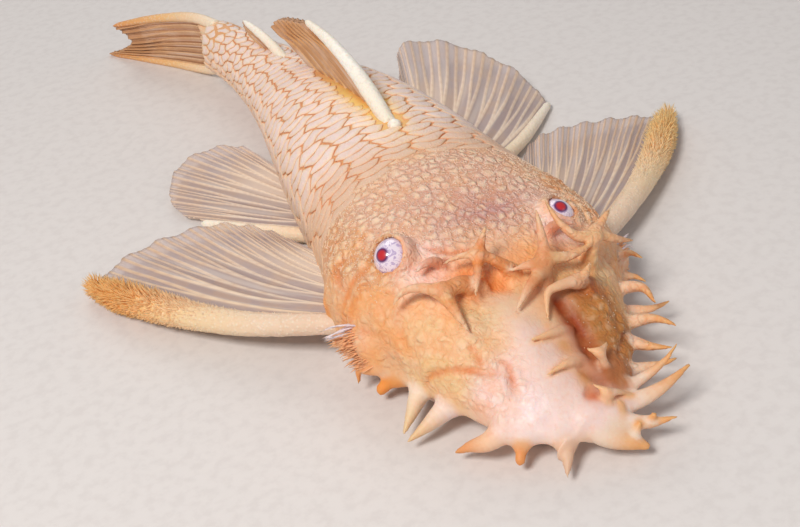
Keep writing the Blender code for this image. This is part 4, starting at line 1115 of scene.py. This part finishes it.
def make_grains(skin):
    """Small bony grains strewn over the top of the head, sunk into the skin by half."""
    mesh = skin.data
    grain = read(mesh.attributes["grain"].data, "value")[:, 0]
    chosen = rng.choice(len(grain), GRAIN_COUNT, replace=False, p=grain / grain.sum())
    size = (rng.uniform(0.05, 0.095, GRAIN_COUNT) * MM)[:, None]
    normal = read(mesh.vertices, "normal", 3)[chosen].astype(float)
    side = unit(np.cross(normal, rng.normal(size=(GRAIN_COUNT, 3))))
    other = np.cross(normal, side)
    root = read(mesh.vertices, "co", 3)[chosen] + side * rng.uniform(0, 0.12, (GRAIN_COUNT, 1)) * MM
    turns = round_turns(6)
    round_root = side[:, None] * np.cos(turns)[:, None] + other[:, None] * np.sin(turns)[:, None]
    rings = [root[:, None] + (round_root * wide + normal[:, None] * rise) * size[:, None]
             for wide, rise in ((1.0, -0.5), (0.85, 0.35), (0.45, 0.75))]
    points, faces = joined_tufts(rings, root + normal * size * 0.9)
    tone = read(mesh.attributes["tone"].data, "color", 4)[chosen, :3] * 0.6 + linear(255, 232, 206) * 0.4
    unwrap = unwrap_places(root)[:, None] + tuft_patch(turns, (1, 2 / 3, 1 / 3))
    return make_piece("head_grains", points, faces, grain_finish(), (),
                      np.repeat(tone, len(points) // GRAIN_COUNT, axis=0), None, unwrap.reshape(-1, 2))


# Eyes


def make_eye(name, side, gaze):
    """An eyeball with a bulging cornea; its iris and pupil are painted by the angle from its gaze."""
    sides = 48
    polar = np.radians(np.concatenate([np.linspace(0.0, 60, 28)[1:], np.linspace(63, 176, 16)]))
    turns = round_turns(sides)
    axis = Vector(gaze).normalized()
    aside = axis.orthogonal().normalized()
    bulge = EYE_RADIUS + CORNEA_RISE * np.cos(np.clip(polar / math.radians(44), 0, 1) * math.pi / 2) ** 1.4
    wide = np.sin(polar) * bulge
    local = np.stack([np.outer(wide, np.cos(turns)), np.outer(wide, np.sin(turns)),
                      np.outer(np.cos(polar) * bulge, np.ones(sides))], axis=-1).reshape(-1, 3)
    front, back = (0, 0, EYE_RADIUS + CORNEA_RISE), (0, 0, -EYE_RADIUS)
    local = np.concatenate([[front], local, [back]])
    points = (local @ np.array([aside, axis.cross(aside), axis])) * MM + place(*EYE_PLACES[side])
    last = len(points) - 1
    faces = [grid_faces(len(polar), sides, closed=True) + 1, fan_cap(np.arange(sides) + 1, 0),
             fan_cap(np.arange(sides)[::-1] + last - sides, last)]
    marks = {"polar": np.concatenate([[0.0], np.degrees(np.repeat(polar, sides)), [180.0]])}
    return make_piece(name, points, faces, eye_finish(), [name], None, marks)


# Fins


RAY_JOINT = 0.85


def beside_spine(leading, radii, root_end, count):
    """The fan's first edge: the spine's path moved part of its radius towards the fan."""
    path = smooth_path(leading, count)
    along = np.gradient(path, axis=0)
    aside = unit(np.stack([-along[:, 1], along[:, 0], np.zeros(count)], axis=-1))
    if np.dot(aside[count // 2], root_end - path[count // 2]) < 0:
        aside = -aside
    return path + aside * (spread(radii, count) * 0.7)[:, None]


def ray_ridges(along, share, rays, splits):
    """How close each place of a fan is to a ray's crest, for rays that split towards the rim."""
    crest = np.zeros_like(along)
    width = 0.1 / rays * (1 - 0.5 * soft(along, 0.2, 0.9))
    for ray in range(rays):
        for lane in range(2 ** len(splits)):
            at = (ray + 0.5) / rays
            for level, start in enumerate(splits):
                sign = 1 if (lane >> (len(splits) - 1 - level)) & 1 else -1
                at = at + sign * 0.25 / rays / 2 ** level * soft(along, start, start + 0.36)
            crest = np.maximum(crest, np.exp(-((share - at) / width) ** 2))
    return crest


def thin_sheet(name, grid, thickness, finish, nodes, tone, marks):
    """A closed sheet of even grid points with a thickness on both faces."""
    rows, columns = grid.shape[:2]
    grid = place(*np.moveaxis(grid, -1, 0))
    rise = unit(np.cross(np.gradient(grid, axis=0), np.gradient(grid, axis=1))) * thickness[..., None] * MM
    points = np.concatenate([(grid + rise).reshape(-1, 3), (grid - rise).reshape(-1, 3)])
    points[:, 2] = np.maximum(points[:, 2], 0.0)
    size = rows * columns
    upper = grid_faces(rows, columns)
    lattice = np.arange(size).reshape(rows, columns)
    rim = np.concatenate([lattice[0], lattice[1:, -1], lattice[-1, -2::-1], lattice[-2:0:-1, 0]])
    after = np.roll(rim, -1)
    edge = np.stack([rim, rim + size, after + size, after], axis=-1)
    faces = [np.concatenate([upper, upper[:, ::-1] + size, edge])]
    marks = {key: np.tile(values.ravel(), 2) for key, values in marks.items()}
    tone = np.tile(tone.reshape(-1, 3), (2, 1))
    return make_piece(name, points, faces, finish, nodes, tone, marks)


def fin_sheet(name, grid, along, share, rays, ridge, thickness, tone, lit_veil, finish, nodes, jointed=1.0):
    """Close a fin's grid into a sheet, marked with its rays, their joints and its pale streaks."""
    length = np.linalg.norm(np.gradient(grid, axis=0), axis=-1).cumsum(axis=0)
    joint = np.clip(1.4 * np.abs(np.sin(length * math.pi / RAY_JOINT)) ** 6, 0, 1) * ridge * jointed
    streak = cloud(np.stack([share * rays * 5, along * 2.5, 0 * along], axis=-1), 1.0, 71)
    streak = streak * (1 - 0.6 * soft(along, 0.6, 1.0))
    marks = {"ray": ridge, "joint": joint, "streak": streak, "lit_veil": lit_veil}
    return thin_sheet(name, grid, thickness, finish, nodes, tone, marks)


def bow(edge):
    """How far an edge strays from the straight line between its ends, as a column of a grid."""
    t = np.linspace(0, 1, len(edge))[:, None]
    return (edge - edge[0] * (1 - t) - edge[-1] * t)[:, None]


def fan_shares(rows, columns):
    """Shares of the way out along the rays and across them, over a fan's grid."""
    return np.meshgrid(np.linspace(0, 1, rows), np.linspace(0, 1, columns), indexing="ij")


def make_fan(name, leading, radii, root_end, tips, rays, sag, finish, colours):
    """A spread fin: a clear membrane over rays that branch towards its frilled rim."""
    rows, columns = 56, 300
    along, share = fan_shares(rows, columns)
    edge = beside_spine(leading, radii, root_end, rows)
    rim = smooth_path([edge[-1], *tips], columns)
    lobes = np.abs(np.sin(math.pi * share * rays * 2)) ** 0.6
    notches = cloud(np.stack([share * 90, 0 * share, 0 * share], axis=-1), 1.0, 3)
    frill = 1 - 0.006 * (1 - lobes) - 0.008 * notches
    out, over = (along * frill)[..., None], share[..., None]
    root = edge[0] * (1 - over) + np.multiply(root_end, over)
    grid = root * (1 - out) + rim * out + bow(edge) * (1 - over) ** 1.5
    grid[..., 2] -= sag * np.sin(math.pi * along) * np.sin(math.pi * share)
    grid[..., 2] += 0.22 * along * np.sin(2 * math.pi * share * rays) * soft(along, 0.1, 0.5)
    ridge = ray_ridges(along, share, rays, (0.04, 0.42))
    tone = tinted(linear(*colours[0]), (colours[1], soft(along, 0.25, 0.95)),
                  (colours[2], soft(1 - share, 0.75, 1.0)))
    # Lit veil: the rear part near the body, pale and more opaque, partly painted light.
    lit_veil = soft(share, 0.35, 0.7) * (1 - soft(along, 0.45, 0.8))
    return fin_sheet(name, grid, along, share, rays, ridge, 0.05 + ridge * (0.15 - 0.1 * along), tone, lit_veil,
                     finish, [name], soft(along, 0.2, 0.35))


def upright_fan(name, leading, base, tips, rays, finish, colours, size, half=0.42, pleat=0.0, trailing=()):
    """A fin on the midline: rays from a base line to a row of tips, in a sheet of rows and columns."""
    along, share = fan_shares(*size)
    out, over = along[..., None], share[..., None]
    rim = smooth_path([leading[-1], *tips], size[1])
    foot = smooth_path([leading[0], *base], size[1])
    grid = foot * (1 - out) + rim * out + bow(smooth_path(leading, size[0])) * (1 - over) ** 2
    if trailing:
        grid += bow(smooth_path(trailing, size[0])) * over ** 2
    grid[..., 1] += pleat * np.sin(2 * math.pi * share * rays) * soft(along, 0.0, 0.3)
    ridge = ray_ridges(along, share, rays, (0.5,))
    tone = tinted(linear(*colours[0]), (colours[1], soft(along, 0.2, 0.9)))
    thickness = half * (0.25 + 0.75 * ridge) * (1.2 - 0.5 * along)
    return fin_sheet(name, grid, along, share, rays, ridge, thickness, tone, 0 * ridge, finish, [name])


def make_tube(name, path, radii, finish, nodes, colours, sides=28, rows=90):
    """A tapered bony rod along fish places, its colours spread along it."""
    spine = place(*smooth_path(path, rows).T)
    shares = np.linspace(0, 1, rows)
    widths = spread(radii, shares)
    widths[-4:] *= (0.9, 0.72, 0.45, 0.08)
    side, up = across(unit(np.gradient(spine, axis=0)))
    turns = round_turns(sides)
    around = np.broadcast_arrays(shares[:, None] * 90, np.cos(turns) * 3, np.sin(turns) * 3)
    rough = cloud(np.stack(around, axis=-1), 1.0, 21)
    reach = widths[:, None] * (1 + 0.05 * (rough - 0.5) * 2) * MM
    points = (spine[:, None] + side[:, None] * (np.cos(turns) * reach)[..., None]
              + up[:, None] * (np.sin(turns) * reach)[..., None]).reshape(-1, 3)
    points[:, 2] = np.maximum(points[:, 2], 0.0)
    total = rows * sides
    faces = [grid_faces(rows, sides, closed=True), fan_cap(np.arange(sides)[::-1], total),
             fan_cap(np.arange(sides) + total - sides, total + 1)]
    stops = np.array([linear(*colour) for colour in colours])
    at = np.append(np.repeat(shares, sides), (0, 1))
    tone = np.stack([spread(stop, at) for stop in stops.T], axis=-1)
    points = np.concatenate([points, spine[:1], spine[-1:]])
    return make_piece(name, points, faces, finish, nodes, tone)


# Bristles


BRISTLE_FLOOR = 0.00003
FUZZ_COUNT = 5000


def make_bristles(name, roots, directions, lengths, widths, curl, tone_root, tone_tip, unwrap, nodes=(),
                  shares=(-0.25, 0.35, 0.72)):
    """Many thin tapered bristles as one joined mesh; each has its own patch of the unwrap."""
    directions = unit(directions)
    side = unit(np.cross(directions, (0.3, 0.2, 1.0)))
    other = np.cross(directions, side)
    turns = round_turns(4)
    round_root = side[:, None] * np.cos(turns)[:, None] + other[:, None] * np.sin(turns)[:, None]
    rings = []
    for share in shares:
        grown = max(share, 0)
        centre = roots + directions * (lengths * share)[:, None] + curl * (lengths * grown ** 2)[:, None]
        rings.append(centre[:, None] + round_root * (widths * (1 - 0.62 * grown ** 1.6))[:, None, None])
    points, faces = joined_tufts(rings, roots + (directions + curl) * lengths[:, None])
    points[:, 2] = np.maximum(points[:, 2], BRISTLE_FLOOR)
    grown = np.maximum(shares, 0)
    at = np.append(np.repeat(grown, len(turns)), 1.0)[:, None]
    tone = tone_root[:, None] * (1 - at) + tone_tip[:, None] * at
    unwrap = unwrap[:, None] + tuft_patch(turns, 1 - grown)
    return make_piece(name, points, faces, bristle_finish(name + "_finish"), nodes,
                      tone.reshape(-1, 3), None, unwrap.reshape(-1, 2))


def spine_fuzz(name, path, radii, seed, tones):
    """Bristles on a pectoral spine: low near its root, long and dense towards its tip."""
    draw = np.random.default_rng(seed)
    share = draw.beta(2.4, 1.25, FUZZ_COUNT)
    spine = place(*smooth_path(path, 160).T)
    at = np.clip((share * 159).astype(int), 0, 159)
    along = unit(np.gradient(spine, axis=0))[at]
    turn = draw.uniform(0, 2 * math.pi, FUZZ_COUNT)
    side, up = across(along)
    out = side * np.cos(turn)[:, None] + up * np.sin(turn)[:, None]
    grown = soft(share, 0.30, 0.85)
    lengths = (0.2 + 1.0 * grown) * draw.uniform(0.5, 1.45, FUZZ_COUNT) * MM
    lengths *= 0.5 + 0.6 * soft(out[:, 1] + 0.5 * out[:, 2], -0.5, 0.6)
    widths = (0.055 + 0.005 * grown) * MM
    directions = out + along * (0.75 - 0.2 * grown)[:, None] + draw.normal(0, 0.18, (FUZZ_COUNT, 3))
    roots = spine[at] + out * (spread(radii, share) * 0.92 * MM)[:, None]
    pale, gold, amber = (linear(*tone) for tone in tones)
    grown = grown[:, None]
    tip = (pale * (1 - grown) + amber * grown) * draw.uniform(0.88, 1.1, FUZZ_COUNT)[:, None]
    unwrap = np.stack([0.02 + 0.96 * share, 0.02 + 0.96 * turn / (2 * math.pi)], axis=-1)
    return make_bristles(name, roots, directions, lengths, widths, along * 0.25,
                         pale * (1 - grown) + gold * grown, tip, unwrap)


# Placing the pieces


PECTORAL_RADII = (1.15, 1.25, 1.4, 1.5, 1.5, 1.3, 0.5)
PECTORALS = {
    "pectoral_right": (((27.4, -15.0, 4.8), (35.9, -24.0, 3.5), (48.0, -32.6, 2.3), (54.8, -35.8, 1.35),
                        (58.2, -37.0, 0.95)), (37.5, -11.0, 5.2),
                       ((60.2, -33.5, 2.0), (60.6, -28.0, 2.9), (58.6, -21.0, 3.7), (53.2, -17.2, 4.7),
                        (46.0, -14.8, 5.7))),
    "pectoral_left": (((26.8, 15.0, 5.0), (33.2, 23.9, 4.0), (41.9, 33.6, 2.6), (46.9, 38.0, 1.65),
                       (50.6, 41.2, 1.2)), (36.0, 11.0, 5.4),
                      ((51.6, 37.0, 2.2), (52.4, 31.0, 3.2), (52.2, 25.0, 4.2), (50.4, 20.6, 5.1),
                       (47.2, 17.4, 5.8))),
}
# Colours of each pectoral spine's bristles: low ones, then root and tip of the long ones. The left set is
# lighter than the right as painted light, for the side that catches more light.
FUZZ_TONES_LEFT_LIT = (((244, 218, 184), (240, 148, 58), (252, 200, 124)),
              ((250, 226, 194), (255, 180, 88), (255, 222, 154)))
PELVIC_RADII = (0.85, 0.95, 0.9, 0.75, 0.5)
PELVICS = {
    "pelvic_right": (((50.0, -8.6, 1.5), (57.5, -15.4, 1.1), (65.0, -20.8, 0.7)), (58.5, -6.5, 2.2),
                     ((70.0, -22.4, 0.9), (76.0, -21.4, 1.4), (80.4, -17.8, 2.0), (80.4, -13.4, 2.6),
                      (77.0, -9.6, 3.0))),
    "pelvic_left": (((49.5, 8.6, 2.0), (54.6, 19.6, 1.6), (63.3, 30.9, 0.7)), (58.5, 6.5, 2.6),
                    ((68.6, 30.2, 3.0), (74.6, 27.4, 5.0), (79.0, 23.0, 6.6), (79.6, 18.6, 7.4),
                     (72.5, 13.2, 7.0))),
}


def make_paired_fins():
    film = fin_finish("clear_fin", (200, 178, 174), (250, 226, 198), 0.4)
    bone = spine_finish()
    for seed, (name, (leading, root_end, tips)) in enumerate(PECTORALS.items()):
        make_fan(name + "_fan", leading, PECTORAL_RADII, root_end, tips, 7, 0.8, film,
                 ((246, 226, 196), (232, 190, 140), (246, 206, 140)))
        make_tube(name + "_spine", leading, PECTORAL_RADII, bone, [name + "_spine"],
                  ((228, 196, 170), (234, 206, 178), (240, 208, 162), (248, 196, 120), (246, 170, 84)))
        spine_fuzz(name + "_bristles", leading, PECTORAL_RADII, 40 + seed, FUZZ_TONES_LEFT_LIT[seed])
    for name, (leading, root_end, tips) in PELVICS.items():
        make_fan(name + "_fan", leading, PELVIC_RADII, root_end, tips, 6, 0.35, film,
                 ((250, 232, 206), (240, 208, 170), (250, 230, 200)))
        make_tube(name + "_spine", leading, PELVIC_RADII, bone, [name + "_spine"],
                  ((240, 206, 170), (248, 226, 196), (252, 240, 222)))


DORSAL = ((46.4, 0.0, 16.0), (54.0, 0.2, 18.4), (63.0, 0.3, 20.0), (71.0, 0.3, 20.3))
ADIPOSE = ((78.6, 0.0, 11.0), (84.0, -0.2, 13.0), (90.2, -0.6, 14.3))
TAIL_UPPER = ((100.4, 0.0, 10.2), (106.0, 0.0, 10.0), (113.6, -0.1, 8.7), (124.6, 0.0, 5.9))
TAIL_LOWER = ((100.4, 0.0, 3.0), (106.0, 0.3, 1.2), (114.0, 0.5, 0.5), (127.4, 0.6, 0.35))


def make_midline_fins():
    amber = fin_finish("amber_fin", (206, 150, 104), (240, 190, 126), 0.75)
    bone = spine_finish()
    make_tube("dorsal_spine", DORSAL, (0.95, 1.0, 0.85, 0.7, 0.4), bone, ["dorsal_spine"],
              ((250, 236, 214), (255, 248, 236), (255, 240, 218)))
    make_tube("dorsal_knob", ((45.2, 0.0, 15.2), (44.9, 0.0, 16.6), (45.0, 0.0, 17.5)),
              (0.7, 0.8, 0.8, 0.7), bone, [], ((246, 226, 200), (255, 246, 232)), sides=20, rows=20)
    under_spine = [(station + 0.4, offset, height - drop)
                   for (station, offset, height), drop in zip(DORSAL, (1.2, 0.9, 0.75, 0.5))]
    upright_fan("dorsal_fan", under_spine, ((55.0, 0.0, 15.2), (62.0, 0.0, 14.4), (68.0, 0.0, 13.4)),
                ((75.6, -0.1, 19.0), (78.6, -0.3, 18.0), (80.2, -0.4, 16.6)), 7, amber,
                ((250, 204, 130), (236, 160, 92)), (50, 120), pleat=0.45)
    upright_fan("adipose_fin", ADIPOSE, ((83.0, 0.0, 11.0), (87.0, 0.0, 10.4)),
                ((90.4, -0.5, 13.2), (89.4, -0.3, 12.0)), 2, amber,
                ((250, 214, 160), (240, 190, 130)), (30, 40), 0.3)
    make_tube("adipose_spine", ADIPOSE, (0.8, 0.7, 0.6, 0.35), bone, [], ((250, 230, 204), (255, 246, 232)),
              sides=20, rows=40)
    upright_fan("anal_fin", ((70.0, 0.0, 2.4), (74.6, 0.0, 1.2), (79.4, 0.0, 0.5)),
                ((73.0, 0.0, 2.6), (76.0, 0.0, 2.8)), ((80.4, 0.0, 0.7), (80.6, 0.0, 1.1)), 3, amber,
                ((250, 224, 190), (240, 196, 140)), (30, 40), 0.3)
    upright_fan("caudal_fin", TAIL_UPPER, [(100.4, 0.0, height) for height in (8.4, 6.6, 4.8, 3.2)],
                ((122.6, 0.1, 4.8), (121.6, 0.2, 3.4), (123.6, 0.4, 1.9), (127.4, 0.6, 0.4)), 9, amber,
                ((250, 220, 180), (226, 160, 100)), (60, 140), pleat=0.15, trailing=TAIL_LOWER)
    for name, path in (("caudal_upper_ray", TAIL_UPPER), ("caudal_lower_ray", TAIL_LOWER)):
        make_tube(name, path, (0.85, 0.75, 0.6, 0.35), bone, [],
                  ((250, 230, 204), (240, 190, 130), (226, 150, 84)), sides=20, rows=60)


CHEEK_LINE = ((23.0, 6.9), (21.9, 6.6), (21.1, 5.9), (20.6, 5.0), (20.3, 4.0))
CHEEK_LOW = 2.0
CHEEK_WIDEST = 0.26
CHEEK_FULLNESS = 2.6


def cheek_bristles():
    """A fan of curved spines turned out on each cheek: long pale hooks above, short amber ones below."""
    count, hooks, layers = 190, 8, 4
    lilac, amber, cream = linear(226, 200, 204), linear(236, 130, 66), linear(252, 200, 152)
    for side, name, widths in ((1, "cheek_spines_left", LEFT_WIDTH),
                               (-1, "cheek_spines_right", RIGHT_WIDTH)):
        draw = np.random.default_rng(60 + side)
        down = np.concatenate([draw.uniform(-0.05, 0.1, hooks), draw.uniform(0.1, 1.0, count - hooks)])
        hook = down < 0.1
        layer = draw.integers(0, layers, count) * (down > 0.1)
        station, height = (spread(knots, down) for knots in zip(*CHEEK_LINE))
        stray = np.where(hook, 0.3, 0.12)
        station = station + 0.55 * layer + draw.normal(0, 1, count) * stray
        height = height - 0.45 * layer * (1 - 0.4 * down) + draw.normal(0, 1, count) * stray
        top = flow(BACK_HEIGHT, station)
        middle = CHEEK_LOW + CHEEK_WIDEST * (top - CHEEK_LOW)
        rise = np.clip((height - middle) / (top - middle), 0, 0.95)
        edge = flow(widths, station) * (1 - rise ** CHEEK_FULLNESS) ** (1 / CHEEK_FULLNESS)
        roots = place(station, side * edge * 0.995, height)
        length = np.where(hook, draw.uniform(3.1, 4.0, count),
                          draw.uniform(1.9, 3.0, count) * (1 - 0.2 * down))
        out = np.stack([side * draw.uniform(0.9, 1.0, count), draw.uniform(0.0, 0.6, count),
                        draw.normal(0.16, 0.2, count)], axis=-1)
        curl = np.stack([np.full(count, -0.08 * side), np.full(count, 0.3), np.where(hook, -0.5, -0.45)],
                        axis=-1)
        mixed = draw.random(count)[:, None] * 0.5
        root = np.where(hook[:, None], lilac, amber * (1 - mixed) + cream * mixed)
        tip = np.where(hook[:, None], linear(240, 226, 226), root * 0.35 + cream * 0.65)
        make_bristles(name, roots, out, length * MM, np.where(hook, 0.12, 0.11) * MM, curl, root, tip,
                      unwrap_places(roots), [name], (-0.2, 0.15, 0.4, 0.62, 0.82))


def camera_axes():
    """The camera's right, up and back directions."""
    turn, lift = math.radians(CAMERA_AZIMUTH), math.radians(CAMERA_ELEVATION)
    back = Vector((math.sin(turn) * math.cos(lift), -math.cos(turn) * math.cos(lift), math.sin(lift)))
    right = Vector((math.cos(turn), math.sin(turn), 0))
    up = back.cross(right)
    roll = math.radians(CAMERA_ROLL)
    return (right * math.cos(roll) + up * math.sin(roll),
            up * math.cos(roll) - right * math.sin(roll), back)


def add_camera():
    """The camera of the photo's view."""
    right, up, back = camera_axes()
    data = bpy.data.cameras.new("camera")
    data.lens = CAMERA_LENS
    data.sensor_width = 36.0
    data.clip_start = 0.005
    camera = bpy.data.objects.new("camera", data)
    turned = Matrix((right, up, back)).transposed().to_4x4()
    turned.translation = (Vector(CAMERA_TARGET) + back * CAMERA_DISTANCE) * MM
    camera.matrix_world = turned
    bpy.context.scene.collection.objects.link(camera)
    bpy.context.scene.camera = camera


def add_light(name, place_mm, size_mm, power, colour):
    """A square soft light that faces the fish."""
    data = bpy.data.lights.new(name, "AREA")
    data.size = size_mm * MM
    data.energy = power
    data.color = colour
    light = bpy.data.objects.new(name, data)
    spot = Vector(place_mm) * MM
    towards = (LIT_PLACE - spot).to_track_quat("-Z", "Y")
    light.matrix_world = Matrix.Translation(spot) @ towards.to_matrix().to_4x4()
    bpy.context.scene.collection.objects.link(light)


def add_studio():
    """A pale floor under a soft key light from the upper left, a weak fill and an even sky."""
    bpy.ops.mesh.primitive_plane_add(size=3.0)
    floor = bpy.context.object
    floor.name = "floor"
    floor.data.materials.append(floor_finish())
    add_light("key", (-220, -160, 330), 110, 1.28, (1.0, 0.97, 0.94))
    add_light("fill", (260, -260, 200), 260, 0.16, (0.94, 0.96, 1.0))
    add_light("back", (60, 320, 260), 220, 0.3, (1.0, 0.98, 0.95))
    world = bpy.data.worlds.new("sky")
    world.use_nodes = True
    world.node_tree.nodes["Background"].inputs["Color"].default_value = (0.93, 0.95, 1.0, 1.0)
    world.node_tree.nodes["Background"].inputs["Strength"].default_value = 0.29
    bpy.context.scene.world = world
    bpy.context.scene.view_settings.view_transform = "Standard"


skin = make_skin()
make_grains(skin)
make_plates()
make_eye("eye_right", -1, (-0.71, -0.31, 0.63))
make_eye("eye_left", 1, (0.12, -0.43, 0.89))
make_paired_fins()
make_midline_fins()
cheek_bristles()
add_camera()
add_studio()
